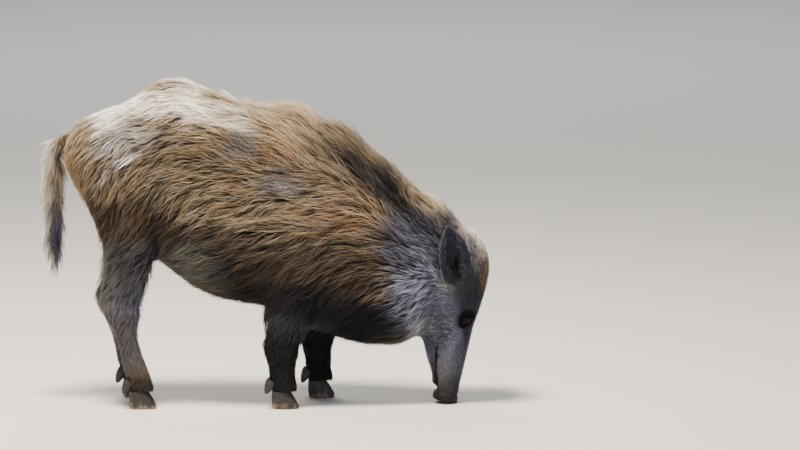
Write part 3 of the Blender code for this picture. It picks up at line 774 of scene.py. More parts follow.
# %% Chart on the skin
LEG_LIE, TAIL_LIE = np.array([-0.22, 0, -0.97]), np.array([-0.10, 0, -1.0])
PARTING = 0.30            # how much the hair on the ridge of the back leans to its own side
RIDGE_FACING, RIDGE_HEIGHT, RIDGE_HALF = (0.1, 0.8), (0.40, 0.55), (0.0, 0.03)    # where it does
spots, out = points_of(skin.data), normals_of(skin.data)
up, deep = head_places(spots)
way, length, depth = combed(spots)
on_leg = leg_share(spots)
leg_length, leg_depth = leg_combed(spots[:, 2])
length += (leg_length - length) * on_leg
depth += (leg_depth - depth) * on_leg
way += (LEG_LIE - way) * on_leg[:, None]
top = rise(out[:, 2], *RIDGE_FACING) * rise(spots[:, 2], *RIDGE_HEIGHT)
way[:, 1] += np.sign(spots[:, 1]) * top * PARTING * rise(np.abs(spots[:, 1]), *RIDGE_HALF)
print("hair on body and legs, in metres:", length.min().round(3), "to", length.max().round(3))

# %% Lie on the ears, on the tail and round the eyes
TAIL_LENGTH = (0.34, 0.42, 0.60), (0.050, 0.062, 0.045)      # by height above the ground
TAIL_DEPTH = (0.34, 0.40, 0.50, 0.60), (0.009, 0.015, 0.020, 0.013)
TAIL_FRONT = -0.472, -0.464             # x over which the tail's hair becomes the rump's
TAIL_TOP = 0.605, 0.630                 # heights over which it does
WAVERS = (0.045, 0.60, 5), (0.016, 0.38, 17)      # size, angle and seed of the noise on the lie
EAR_HALF_WIDTH = 0.030
EAR_REACH, BY_EAR = 0.006, 0.014        # distances within which skin is an ear's, or beside one
EAR_BASE = 0.012, 0.030                 # up the ear, over which its own hair begins
EAR_MOUTH = np.array([0.35, 0.93, -0.05])      # the way the left ear's opening looks
RIM_START, RIM_FLARE = 0.45, 0.9        # from there on outwards, how far the rim's hair turns out
EAR_HAIR, EAR_RIM_HAIR, EAR_DEPTH = 0.010, 0.012, 0.005    # length, more on the rim, depth
EYE_HAIR, EYE_CLEAR = 0.004, 0.014      # length at the lids, and how far out it begins to grow
EYE_GAIN, EYE_REACH = 0.6, 0.04         # how fast it grows from there, and how far out this holds


def nearness(nodes, reach):
    """1 on the skin of those nodes, 0 at that distance from them."""
    return 1 - rise(distances(tree_of(nodes), spots, reach), reach * 0.3, reach)


on_tail = 1 - rise(spots[:, 0], *TAIL_FRONT)
on_tail *= 1 - rise(spots[:, 2], *TAIL_TOP)
on_ear = np.zeros(len(spots))
inside_ear = np.zeros(len(spots))
by_ear = nearness(EARS, BY_EAR)
for side, word in WORD.items():
    ear = points_of(bpy.data.objects[f"ear_{word}"].data)
    axis = np.linalg.svd(ear - ear.mean(0), full_matrices=False)[2][0]
    axis *= np.sign(axis[2])
    low = (ear @ axis).min()
    share = nearness([f"ear_{word}"], EAR_REACH)
    share *= rise(spots @ axis - low, *EAR_BASE)
    mouth_way = unit(EAR_MOUTH * (1, side, 1))
    off = spots - ear.mean(0)
    off -= (off @ axis)[:, None] * axis + (off @ mouth_way)[:, None] * mouth_way
    rim = rise(np.linalg.norm(off, axis=1), EAR_HALF_WIDTH * RIM_START, EAR_HALF_WIDTH) * share
    way += (axis - unit(off) * RIM_FLARE * rim[:, None] - way) * share[:, None]
    length += (EAR_HAIR + EAR_RIM_HAIR * rim - length) * share
    on_ear = np.maximum(on_ear, share)
    inside_ear = np.maximum(inside_ear, share * (1 - rim) * rise(out @ mouth_way, 0.1, 0.5))
way += (TAIL_LIE - way) * on_tail[:, None]
depth += (EAR_DEPTH - depth) * on_ear
for eye in EYES.values():
    away = np.linalg.norm(spots - eye, axis=1)
    short = np.minimum(length, EYE_HAIR + np.maximum(away - EYE_CLEAR, 0) * EYE_GAIN)
    length = np.where(away < EYE_REACH, short, length)
length += (np.interp(spots[:, 2], *TAIL_LENGTH) - length) * on_tail
depth += (np.interp(spots[:, 2], *TAIL_DEPTH) - depth) * on_tail
turn = sum(wobble(spots, *waver) for waver in WAVERS)
lie = unit(way - out * (way * out).sum(1)[:, None])
lie = unit(lie * np.cos(turn)[:, None] + np.cross(out, lie) * np.sin(turn)[:, None])
print("on the ears", (on_ear > 0.5).sum(), "vertices, on the tail", (on_tail > 0.5).sum())

# %% Colours on the skin
# painted shade: a near-black slit on each ear, where its opening lies in shade
EAR_OPENING_SHADE = (0.431, 0.322, 0.038, 0.0080, 82)    # x, z, half length, half width, tilt
LID_BAND = 0.004          # how wide the bare skin round the opening of the eye is
# marks before the eye: how far before it and half length, then how far above it and half width
STREAK = (0.045, 0.040, 0.004, 0.009)     # dark hair
TEAR = (0.018, 0.010, -0.001, 0.0020)     # the bare line that tears run down


def before_eye(away, along, across, mark):
    """How far each spot lies from a mark before the eye, as a share of the mark's size."""
    x, half_x, y, half_y = mark
    return np.hypot((away @ along + x) / half_x, (away @ across + y) / half_y)


seen = spots + lie * (length * SEEN_AT)[:, None]
root, tip = markings(seen)
# painted light: the tail's hair that faces back, towards the light from behind, is painted tan and
# cream
behind = rise(-out[:, 0], -0.15, 0.55) * on_tail
for kind, share in (
    ("char", by_ear * 0.8), ("char", on_ear),
    ("black", on_ear * 0.15), ("black", inside_ear * 0.25),
    # painted shade in the ear's opening
    ("pitch", patch(seen, *EAR_OPENING_SHADE, edge=0.3) * by_ear),
    ("char", on_tail), ("tan", on_tail * 0.6 * rise(seen[:, 2], 0.40, 0.52)),
    ("tan", behind), ("cream", behind * 0.55),
):
    paint(root, tip, kind, share)
bare = (1 - rise(up, 0.014, 0.024)) * (spots[:, 0] > 0.3)
paint(root, tip, "hide", bare)
for side in (RIGHT, LEFT):
    _, along, across = AXES[side]
    away = spots - EYES[side]
    distance = np.linalg.norm(away, axis=1)
    lids = (0, LID_HALF_LENGTH + LID_BAND, 0, LID_HALF_HEIGHT + LID_BAND)
    ring = before_eye(away, along, across, lids)
    bare = np.maximum(bare, (1 - rise(ring, 0.95, 1.30)) * (distance < 0.03))
    # near black round the eye, out past the lids: the dark lids, and painted shade of the brow,
    # darker than the lamp would leave them
    paint(root, tip, "pitch", (1 - rise(ring, 1.40, 2.20)) * (distance < 0.04))
    beside = distance < 0.10
    streak = before_eye(away, along, across, STREAK)
    paint(root, tip, "black", 0.55 * (1 - rise(streak, 0.5, 1.2)) * beside)
    tear = before_eye(away, along, across, TEAR)
    bare = np.maximum(bare, (1 - rise(tear, 0.6, 1.3)) * beside)
off, run = mouth_offset(spots)
bare = np.maximum(bare, run * (1 - rise(np.abs(off), 0.002, 0.005)))
paint(root, tip, "black", run * (1 - rise(np.abs(off), 0.002, 0.007)))


def write(mesh, name, values, kind="FLOAT", domain="POINT"):
    """Writes an array onto a mesh as a named attribute."""
    attribute = mesh.attributes.new(name, kind, domain)
    word = {"FLOAT": "value", "FLOAT_VECTOR": "vector", "FLOAT_COLOR": "color"}[kind]
    attribute.data.foreach_set(word, np.asarray(values, np.float32).ravel())


for name, values, kind in (
    ("lie", lie, "FLOAT_VECTOR"), ("out", out, "FLOAT_VECTOR"),
    ("root", root, "FLOAT_COLOR"), ("tip", tip, "FLOAT_COLOR"),
    ("length", length, "FLOAT"), ("depth", depth, "FLOAT"),
    ("bare", bare, "FLOAT"), ("mud", mud_on(seen), "FLOAT"),
):
    write(skin.data, name, values, kind)
print("chart written on", len(spots), "vertices")

# %% [markdown]
# The coat is laid in pieces, one for each part of the body, so that none grows too heavy. Each part
# has its number of locks, their width, how far they spring up from the skin, and how much they draw
# together into pointed clumps, as a wet and muddy coat does. Face and feet have the smallest.

# %% Parts of the coat
FEWER = 1.0
COAT_ROWS = (
    # part, sides, locks, width in mm, least and most lift, clumps per 100 locks, pull, long lock
    ("rump", True, 8000, 1.7, 0.25, 1.00, 13, 0.78, True),
    ("barrel", True, 7500, 1.8, 0.25, 1.00, 12, 0.85, True),
    ("shoulder", True, 8000, 1.7, 0.25, 1.00, 12, 0.85, True),
    ("neck", True, 6000, 1.6, 0.25, 1.00, 14, 0.78, True),
    ("mane", False, 5000, 1.5, 0.35, 1.00, 12, 0.70, True),
    ("head", True, 11000, 0.95, 0.30, 1.00, 25, 0.50, False),
    ("legs", False, 14000, 1.3, 0.30, 1.00, 18, 0.60, False),
    ("ears", False, 5000, 0.9, 0.40, 1.00, 22, 0.50, False),
    ("tail", False, 2500, 1.3, 0.30, 1.20, 25, 0.30, True),
)
COAT = {part + word: row for part, sides, *row in COAT_ROWS
        for word in (("_right", "_left") if sides else ("",))}
PART_ENDS = -0.165, 0.055, 0.235          # x where rump, barrel, shoulder and neck meet
FACE_DEEP, FACE_UP, FACE_BACK = 0.118, 0.335, 0.28    # how deep, high and far back it reaches
JAW_SLANT, JAW_TOP = 0.35, 0.10           # below this height it reaches deeper, along the jaw
# the mane grows between these x, above this z, so near the middle, on skin that faces up so far
MANE_ENDS, MANE_BOTTOM, MANE_HALF, MANE_FACING = (0.09, 0.47), 0.36, 0.030, 0.25
LEAST_CROWDING = 0.010    # hair shorter than this stands no denser
EAR_THINNING = 0.75       # how much sparser the hair inside an ear is
side_of = np.where(spots[:, 1] < 0, "right", "left")
x = spots[:, 0]
part_of = np.array(["rump", "barrel", "shoulder", "neck"])[np.digitize(x, PART_ENDS)]
part_of = np.char.add(np.char.add(part_of, "_"), side_of)
along_neck = (x > MANE_ENDS[0]) & (x < MANE_ENDS[1]) & (spots[:, 2] > MANE_BOTTOM)
ridge = along_neck & (np.abs(spots[:, 1]) < MANE_HALF) & (out[:, 2] > MANE_FACING)
part_of = np.where(ridge, "mane", part_of)
jaw = JAW_SLANT * np.maximum(0, JAW_TOP - up)
face = (deep < FACE_DEEP + jaw) & (up < FACE_UP) & (x > FACE_BACK)
part_of = np.where(face, np.char.add("head_", side_of), part_of)
for part, share in (("legs", on_leg), ("ears", on_ear), ("tail", on_tail)):
    part_of = np.where(share > 0.5, part, part_of)
print("the mane grows on", ridge.sum(), "vertices, the face's hair on", face.sum())

# %% Crowding
skin.data.calc_loop_triangles()
corners = np.empty(len(skin.data.loop_triangles) * 3, int)
skin.data.loop_triangles.foreach_get("vertices", corners)
corners = corners.reshape(-1, 3)
a, b, c = (spots[corners[:, k]] for k in range(3))
areas = np.linalg.norm(np.cross(b - a, c - a), axis=1) / 2
for part, (locks, *_) in COAT.items():
    weight = (part_of == part) / np.maximum(length, LEAST_CROWDING) * (1 - bare)
    if part == "ears":
        weight *= 1 - EAR_THINNING * inside_ear
    total = (areas * weight[corners].mean(1)).sum()
    write(skin.data, "crowd_" + part, weight / total * locks * FEWER)
    area = (areas * (part_of == part)[corners].mean(1)).sum()
    print(part, round(area, 4), "square metres,", locks, "locks")

# %% [markdown]
# A lock is a few bristles stuck together. It is a slim three-sided blade: flat at the root, tapering
# to a point, with rings along it where it can bend. The long one has three rings, the short one two.

# %% Lock of hair
LONG_RINGS = ((0.0, 1.0), (0.34, 0.95), (0.70, 0.60))       # place along the lock, and width there
SHORT_RINGS = ((0.0, 1.0), (0.52, 0.72))
FLATNESS = 0.55


def lock_mesh(name, rings):
    """A tapering three-sided blade along x, 1 long and 1 wide."""
    corners, faces = [], []
    for place, width in rings:
        for k in range(3):
            turn = 2 * math.pi * k / 3 + math.pi / 2
            half = width / 2
            corners.append((place, math.cos(turn) * half, math.sin(turn) * half * FLATNESS))
    corners.append((1.0, 0.0, 0.0))
    for ring in range(len(rings) - 1):
        for k in range(3):
            here, there = ring * 3 + k, ring * 3 + (k + 1) % 3
            faces.append((here, there, there + 3, here + 3))
    last = (len(rings) - 1) * 3
    faces += [(last + k, last + (k + 1) % 3, len(corners) - 1) for k in range(3)]
    faces.append((2, 1, 0))
    mesh = bpy.data.meshes.new(name)
    mesh.from_pydata(corners, [], faces)
    mesh.update()
    return put(name, mesh)


LOCKS = {True: lock_mesh("long_lock", LONG_RINGS), False: lock_mesh("short_lock", SHORT_RINGS)}
print("long and short lock:", *(triangles_of(lock.data) for lock in LOCKS.values()), "triangles")

# %% [markdown]
# Geometry Nodes plant the locks. Points are scattered over the skin as densely as the chart asks, and
# a thinner scatter of points gives the places that the locks of a clump draw to. A lock is put on
# every point, carries the chart's values of its root, and is made real as plain mesh.

# %% Planting tree
def planting_tree():
    """Geometry Nodes that plant one part of the coat on the skin."""
    tree = bpy.data.node_groups.new("planting", "GeometryNodeTree")
    for name, kind in (
        ("Skin", "Geometry"), ("Crowd", "String"), ("Lock", "Object"),
        ("Clumps per lock", "Float"), ("Hair", "Material"), ("Seed", "Int"),
    ):
        tree.interface.new_socket(name, in_out="INPUT", socket_type="NodeSocket" + kind)
    tree.interface.new_socket("Coat", in_out="OUTPUT", socket_type="NodeSocketGeometry")
    given = add(tree, "NodeGroupInput").outputs

    def maths(operation, first, second):
        """What that operation makes of two values."""
        return add(tree, "ShaderNodeMath", {0: first, 1: second}, operation=operation).outputs[0]

    def scattered(crowd, seed):
        """Points strewn over the skin, so many to the square metre."""
        inputs = {"Mesh": given["Skin"], "Density": crowd, "Seed": seed}
        return add(tree, "GeometryNodeDistributePointsOnFaces", inputs,
                   distribute_method="RANDOM").outputs["Points"]

    crowd = add(tree, "GeometryNodeInputNamedAttribute", {"Name": given["Crowd"]},
                data_type="FLOAT").outputs[0]
    flow = scattered(crowd, given["Seed"])
    thin = maths("MULTIPLY", crowd, given["Clumps per lock"])
    heads = scattered(thin, maths("ADD", given["Seed"], 100.0))
    place = add(tree, "GeometryNodeInputPosition").outputs[0]
    nearest = add(tree, "GeometryNodeSampleNearest", {0: heads, 1: place}).outputs[0]
    head = add(tree, "GeometryNodeSampleIndex",
               {"Geometry": heads, "Value": place, "Index": nearest}, data_type="FLOAT_VECTOR")
    chance = add(tree, "FunctionNodeRandomValue", {"Seed": given["Seed"]},
                 data_type="FLOAT_VECTOR").outputs[0]
    for name, value in (("planted", place), ("clump", head.outputs[0]), ("chance", chance)):
        flow = add(tree, "GeometryNodeStoreNamedAttribute",
                   {"Geometry": flow, "Name": name, "Value": value},
                   data_type="FLOAT_VECTOR", domain="POINT").outputs[0]
    lock = add(tree, "GeometryNodeObjectInfo", {"Object": given["Lock"]}).outputs["Geometry"]
    flow = add(tree, "GeometryNodeInstanceOnPoints",
               {"Points": flow, "Instance": lock}).outputs[0]
    hair = {"Material": given["Hair"]}
    for kind, inputs in (("RealizeInstances", {}), ("SetShadeSmooth", {}), ("SetMaterial", hair)):
        flow = add(tree, "GeometryNode" + kind, {"Geometry": flow, **inputs}).outputs[0]
    add(tree, "NodeGroupOutput", {"Coat": flow})
    return tree


PLANTING = planting_tree()


def planted(part, hair):
    """The locks of one part of the coat, still straight, on their roots."""
    *_, clumps, _, long = COAT[part]
    piece = put("coat_" + part, skin.data.copy())
    plant = piece.modifiers.new("plant", "NODES")
    plant.node_group = PLANTING
    values = {"Crowd": "crowd_" + part, "Lock": LOCKS[long], "Clumps per lock": clumps / 100,
              "Hair": hair, "Seed": 1 + list(COAT).index(part)}
    for socket in PLANTING.interface.items_tree:
        if socket.name in values:
            plant[socket.identifier] = values[socket.name]
    return settled(piece)


print("planting tree:", len(PLANTING.nodes), "nodes")

# %% [markdown]
# Combing bends every straight lock along the body. From its root it takes a few steps over the skin,
# each the way the chart tells there, so that it follows the form instead of sticking out where the
# body curves. It springs up by its share of the coat's depth, draws towards its clump, and is twisted
# a little. Hair at the tail, on the rims of the ears and along the mane falls more freely.

# %% Walk over the skin
skin_tree = BVHTree.FromPolygons([Vector(p) for p in spots],
                                 [face.vertices for face in skin.data.polygons])
skin_finder = KDTree(len(spots))
for i, spot in enumerate(spots):
    skin_finder.insert(spot, i)
skin_finder.balance()
TURN_IN = 0.85            # how much of the chart's way a hair takes up at each step


def values_of(mesh, name):
    """A named attribute of a mesh's vertices, as an array."""
    attribute = mesh.attributes[name]
    word, width = {"FLOAT": ("value", 1), "FLOAT_VECTOR": ("vector", 3)}[attribute.data_type]
    values = np.empty(len(mesh.vertices) * width, np.float32)
    attribute.data.foreach_get(word, values)
    return values.reshape(-1, width).astype(float) if width > 1 else values.astype(float)


def walk(start, normal, way, reach, steps, hug):
    """Places and normals at those steps of a walk over the skin from each root, along the lie."""
    places, normals = [start], [normal]
    at, facing, heading, gone = start, normal, way, 0
    for step in steps[1:]:
        at = at + heading * (reach * (step - gone))[:, None]
        if hug > 0:
            hits = [skin_tree.find_nearest(Vector(p))[0] for p in at]
            near = [skin_finder.find(hit)[1] for hit in hits]
            on_skin = np.array(hits)
            at = on_skin + (at - on_skin) * (1 - hug)
            facing = unit(facing + (out[near] - facing) * hug)
            heading = unit(heading + (lie[near] - heading) * hug * TURN_IN)
        places.append(at)
        normals.append(facing)
        gone = step
    return np.stack(places, 1), np.stack(normals, 1)


print("hair can be led over", len(spots), "places of the skin")

# %% Comb a piece
FREE = {"tail": 1.0, "ears": 0.85, "mane": 0.40, "legs": 0.15}    # how little a part hugs the skin
TIDY = {"tail": 0.3}      # how much less than elsewhere a part's locks turn off the lie
LOWEST = 0.0008           # no hair hangs below this height
SUNK = 0.0015             # how far below the skin a lock starts
LEAST_LENGTH, MORE_LENGTH = 0.60, 0.70
STRAY, SWAY = 0.35, 0.55  # how far a lock, and a whole clump, turns off the lie
FLYAWAY, FLYAWAY_LIFT = 0.94, 1.3     # the luck from which a lock springs higher, and how much
CURL = 0.085              # how far a lock waves sideways, for its length
WAVES = 5.0               # how far round its wave a lock runs, in radians
OWN_PHASE = 0.25          # how much the locks of a clump differ in where their wave begins
CLUMP_MIX, CLUMP_SPREAD = np.array([127.1, 311.7, 74.7]), 437.58      # chance from its place
FOR_PULL, FOR_MUD, FOR_WARMTH = 7.3, 5.3, 3.7      # draw new chances from a clump's first one
OWN_LUCK, SHARED_LUCK = 0.6, 0.4      # a lock's luck is partly its own and partly its clump's
RARE_LIFT = 1.3           # the larger, the fewer locks spring up far
ARCH = 1.7                # how soon along a lock it gains its height
LEAST_PULL, MORE_PULL, LATE_PULL = 0.45, 0.55, 1.2    # how clumps differ, how late they draw in
MUDDY = 0.30, 0.45        # the share of clumps that mud misses, and where it sticks fully
THIN, THICK, MUD_THICK = 0.70, 0.60, 0.8      # a lock's least girth, and what chance and mud add


def fraction(values):
    """What is left of numbers without their whole part, which makes chance of them."""
    return np.modf(values)[0]


def comb(piece, part):
    """Bends the straight locks of a planted piece along the body."""
    _, width, least, most, _, pull, long = COAT[part]
    mesh = piece.data
    rings = LONG_RINGS if long else SHORT_RINGS
    size = len(rings) * 3 + 1
    count = len(mesh.vertices) // size

    def carried(name):
        """What each lock carries of that name from its root."""
        return values_of(mesh, name)[:count * size:size]

    start, chance, clump = (carried(name) for name in ("planted", "chance", "clump"))
    normal, way = (unit(carried(name)) for name in ("out", "lie"))
    reach = carried("length") * (LEAST_LENGTH + MORE_LENGTH * chance[:, 0])
    shared = fraction(np.abs(np.sin(clump @ CLUMP_MIX)) * CLUMP_SPREAD)
    luck = chance[:, 1] * OWN_LUCK + shared * SHARED_LUCK
    lift = carried("depth") * (least + (most - least) * luck ** RARE_LIFT)
    lift = lift * np.where(chance[:, 0] > FLYAWAY, FLYAWAY_LIFT, 1)
    astray = ((chance[:, 2] - 0.5) * STRAY + (shared - 0.5) * SWAY) * TIDY.get(part, 1)
    way = unit(way + np.cross(normal, way) * astray[:, None])
    steps = np.array([place for place, _ in rings] + [1.0])
    places, normals = walk(start, normal, way, reach, steps, 1 - FREE.get(part, 0))

    height = lift[:, None] * (1 - (1 - steps[None, :]) ** ARCH) - SUNK * (1 - steps[None, :])
    pull = pull * (LEAST_PULL + MORE_PULL * fraction(shared * FOR_PULL))
    drawn = (clump - start)[:, None, :] * (pull[:, None, None] * steps[None, :, None] ** LATE_PULL)
    phase = (shared[:, None] + OWN_PHASE * chance[:, 2:3]) * math.tau
    twist = np.sin(steps[None, :] * WAVES + phase) * steps[None, :] * reach[:, None] * CURL
    across = unit(np.cross(normals, unit(np.gradient(places, axis=1))))
    centre = places + normals * height[:, :, None] + drawn + across * twist[:, :, None]
    tangent = unit(np.gradient(centre, axis=1))
    across = unit(np.cross(normals, tangent))
    above = np.cross(tangent, across)

    mud = carried("mud") * rise(fraction(shared * FOR_MUD), *MUDDY)
    girth = width / 1000 * (THIN + THICK * chance[:, 0]) * (1 + MUD_THICK * mud)
    local = points_of(mesh).reshape(count, size, 3) - start[:, None, :]
    ring = np.append(np.repeat(np.arange(len(rings)), 3), len(rings))
    bent = across[:, ring] * local[:, :, 1:2] + above[:, ring] * local[:, :, 2:3]
    bent = centre[:, ring] + bent * girth[:, None, None]
    bent[:, :, 2] = np.maximum(bent[:, :, 2], LOWEST)
    set_points(mesh, bent.reshape(-1, 3))
    mesh.attributes["mud"].data.foreach_set("value", np.repeat(mud, size).astype(np.float32))
    write(mesh, "along", np.tile(steps[ring], count))
    write(mesh, "luck", np.repeat(luck, size))
    write(mesh, "warmth", np.repeat(fraction(shared * FOR_WARMTH + chance[:, 2] * 0.5), size))
    return start, size


print("a part's hair is free of the skin by", FREE)

# %% [markdown]
# Each piece also carries a flat map, OFBake, onto which its colours can be baked. The skin under it
# is laid flat: legs, ears and tail round their own axes, the trunk round a line through its middle.
# Every lock is then a small patch at the place of its root.

# %% Bake map and finished pieces
BAKE_PATCH, BAKE_MARGIN, BAKE_SPAN = 0.003, 0.01, 0.975
HIND_LEGS_END = -0.1      # x between the hind legs and the forelegs
TRUNK_MIDDLE = (-0.5, -0.2, 0.1, 0.35, 0.5), (0.50, 0.50, 0.44, 0.30, 0.25)     # its height by x
JAW_HINGE = 0.05          # how deep behind the profile the face is turned round
WRITTEN = ("planted", "clump", "chance", "lie", "out", "length", "depth", "bare",
           *("crowd_" + part for part in COAT))      # what only the combing needs


def laid_flat(start, part):
    """Each root's place on the skin laid flat."""
    x, y, z = start.T
    if part in ("legs", "ears", "tail"):
        left = (y > 0).astype(int)
        limb = {"legs": left + (x > HIND_LEGS_END) * 2, "ears": left, "tail": left * 0}[part]
        limbs = limb.max() + 1
        away = start[:, :2] - np.array([start[limb == k, :2].mean(0) for k in range(limbs)])[limb]
        return (limb + (np.arctan2(away[:, 1], away[:, 0]) / math.tau + 0.5)) / limbs, z
    if part.startswith("head"):
        up, deep = head_places(start)
        return np.arctan2(np.abs(y), deep - JAW_HINGE), up
    if part == "mane":
        return y, x
    return np.abs(np.arctan2(y, z - np.interp(x, *TRUNK_MIDDLE))), x


def bake_map(mesh, start, size, part):
    """The OFBake map: each lock is a small patch at its root's place on the skin laid flat."""
    flat = np.stack(laid_flat(start, part), 1)
    flat = BAKE_MARGIN + BAKE_SPAN * (flat - flat.min(0)) / np.ptp(flat, axis=0)
    rings = (size - 1) // 3
    corner = np.array([(k % 3 * 0.5, k // 3 / rings) for k in range(size - 1)] + [(0.5, 1.0)])
    places = (flat[:, None, :] + corner[None, :, :] * BAKE_PATCH).reshape(-1, 2)
    layer = mesh.uv_layers.new(name="OFBake")
    loops = np.empty(len(mesh.loops), int)
    mesh.loops.foreach_get("vertex_index", loops)
    layer.data.foreach_set("uv", places[loops].astype(np.float32).ravel())


def coat_piece(part, hair):
    """One finished part of the coat."""
    piece = planted(part, hair)
    start, size = comb(piece, part)
    bake_map(piece.data, start, size, part)
    for name in [name for name in WRITTEN if name in piece.data.attributes]:
        piece.data.attributes.remove(piece.data.attributes[name])
    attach(piece, "root")
    return piece


print(len(COAT), "pieces of coat to make")

# %% [markdown]
# The coat's material reads the colours that each lock took from its root. A lock is dark where it
# leaves the skin and pale at its tip, no two are quite alike, and hair has a weak, broad shine.

# %% Coat material
def principled(name):
    """A material's node tree, its shader and the material."""
    made = bpy.data.materials.new(name)
    made.use_nodes = True
    tree = made.node_tree
    shader = next(node for node in tree.nodes if node.type == "BSDF_PRINCIPLED")
    return made, tree, shader


def reading(tree, *names):
    """Nodes that read those attributes, and what each gives."""
    return {name: add(tree, "ShaderNodeAttribute", attribute_name=name).outputs for name in names}


def mixed(tree, share, first, second):
    """The first colour, going over into the second by the share."""
    inputs = {0: share, 6: first, 7: second}
    return add(tree, "ShaderNodeMix", inputs, data_type="RGBA").outputs[2]


def ranged(tree, value, low, high, start=0.0, end=1.0, **settings):
    """A value between low and high, moved to between start and end."""
    inputs = {"Value": value, "From Min": low, "From Max": high, "To Min": start, "To Max": end}
    return add(tree, "ShaderNodeMapRange", inputs, **settings).outputs[0]


MUD_COLOUR = linear("#cfcdd0")


def coat_material():
    """Bristles: dark root, pale tip, a little different from lock to lock, with mud on some."""
    made, tree, shader = principled("bristles")
    read = reading(tree, "root", "tip", "along", "luck", "warmth", "mud")
    fade = ranged(tree, read["along"]["Fac"], 0.12, 0.85, interpolation_type="SMOOTHSTEP")
    blend = mixed(tree, fade, read["root"]["Color"], read["tip"]["Color"])
    bright = ranged(tree, read["luck"]["Fac"], 0.0, 1.0, 0.50, 1.35)
    full = ranged(tree, read["warmth"]["Fac"], 0.0, 1.0, 0.55, 1.35)
    hued = add(tree, "ShaderNodeHueSaturation",
               {"Color": blend, "Saturation": full, "Value": bright}).outputs[0]
    muddy = mixed(tree, read["mud"]["Fac"], hued, MUD_COLOUR)
    tree.links.new(muddy, shader.inputs["Base Color"])
    shader.inputs["Roughness"].default_value = 0.62
    shader.inputs["Specular IOR Level"].default_value = 0.16
    shader.inputs["Sheen Weight"].default_value = 0.03
    shader.inputs["Sheen Roughness"].default_value = 0.5
    return made


print("dried mud in linear light:", [round(part, 3) for part in MUD_COLOUR[:3]])

# %% Coat
HAIR = coat_material()
total = 0
for part in COAT:
    piece = coat_piece(part, HAIR)
    total += triangles_of(piece.data)
    print(piece.name, triangles_of(piece.data), "triangles")
for lock in LOCKS.values():
    bpy.data.objects.remove(lock)
print("coat:", total, "triangles")

# %% [markdown]
# The skin shows between the locks and on the face. Its short underfur has the same markings, a fine
# streaky relief that runs with the hair, and darker roots. The snout's disc, the lids, the tear line
# and the lips are bare, dark and a little moist, with pores and fine wrinkles.

# %% Skin material
def skin_material():
    """Short underfur over the whole skin, bare wrinkled hide on snout, lids and lips."""
    made, tree, shader = principled("underfur_and_hide")
    read = reading(tree, "root", "tip", "mud", "bare")
    root, tip = read["root"]["Color"], read["tip"]["Color"]
    bare = read["bare"]["Fac"]
    place = add(tree, "ShaderNodeTexCoord").outputs["Object"]
    drawn_out = add(tree, "ShaderNodeMapping",
                    {"Vector": place, "Scale": (500.0, 500.0, 1100.0)}).outputs[0]
    grain = {"Vector": drawn_out, "Scale": 1.0, "Detail": 3.0, "Roughness": 0.6}
    strands = add(tree, "ShaderNodeTexNoise", grain).outputs["Fac"]
    fur = mixed(tree, ranged(tree, strands, 0.30, 0.70, 0.05, 0.50), root, tip)
    muddy = mixed(tree, read["mud"]["Fac"], fur, MUD_COLOUR)
    mottle = add(tree, "ShaderNodeTexNoise",
                 {"Vector": place, "Scale": 140.0, "Detail": 4.0}).outputs["Fac"]
    hide = mixed(tree, mottle, root, tip)
    tree.links.new(mixed(tree, bare, muddy, hide), shader.inputs["Base Color"])
    tree.links.new(ranged(tree, bare, 0.0, 1.0, 0.85, 0.50), shader.inputs["Roughness"])
    pores = add(tree, "ShaderNodeTexVoronoi",
                {"Vector": place, "Scale": 420.0}, feature="F1").outputs["Distance"]
    relief = add(tree, "ShaderNodeMix",
                 {0: bare, 2: strands, 3: pores}, data_type="FLOAT").outputs[0]
    bump = add(tree, "ShaderNodeBump",
               {"Height": relief, "Strength": 0.55, "Distance": 0.0012}).outputs[0]
    tree.links.new(bump, shader.inputs["Normal"])
    shader.inputs["Specular IOR Level"].default_value = 0.10
    return made


print("underfur and hide read the colours of", len(spots), "vertices")

# %% Dress the skin
HIDE = skin_material()
skin.data.materials.clear()
skin.data.materials.append(HIDE)
for name in [a.name for a in skin.data.attributes if a.name.startswith("crowd_")]:
    skin.data.attributes.remove(skin.data.attributes[name])
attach(skin, "root")
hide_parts(*flesh)
print("skin replaces", len(flesh), "nodes")

# %% [markdown]
# A boar's eye is small, round and dark: a wide black pupil in a brown iris, with no white to be seen.
# It is one wet ball. The iris is painted by the angle from the way the eye looks, so it sits round
# the pupil whatever the ball's own mesh is.

# %% Eyes
def eye_material(side):
    """A wet dark ball with a brown iris round a wide pupil."""
    made, tree, shader = principled("eye_" + WORD[side])
    place = add(tree, "ShaderNodeTexCoord").outputs["Object"]
    away = add(tree, "ShaderNodeVectorMath",
               {0: place, 1: tuple(EYES[side])}, operation="SUBTRACT").outputs[0]
    aim = add(tree, "ShaderNodeVectorMath",
              {0: away, 1: tuple(AXES[side][0])}, operation="DOT_PRODUCT").outputs["Value"]
    ring = ranged(tree, aim, EYE_RADIUS * 0.70, EYE_RADIUS)
    ramp = add(tree, "ShaderNodeValToRGB", {"Fac": ring})
    ramp.color_ramp.elements[0].color = linear("#050404")
    ramp.color_ramp.elements[1].color = linear("#010101")
    for place_in_ring, colour in ((0.15, "#0d0806"), (0.45, "#150d08"), (0.62, "#020202")):
        ramp.color_ramp.elements.new(place_in_ring).color = linear(colour)
    tree.links.new(ramp.outputs[0], shader.inputs["Base Color"])
    shader.inputs["Roughness"].default_value = 0.08
    shader.inputs["Specular IOR Level"].default_value = 0.08
    return made


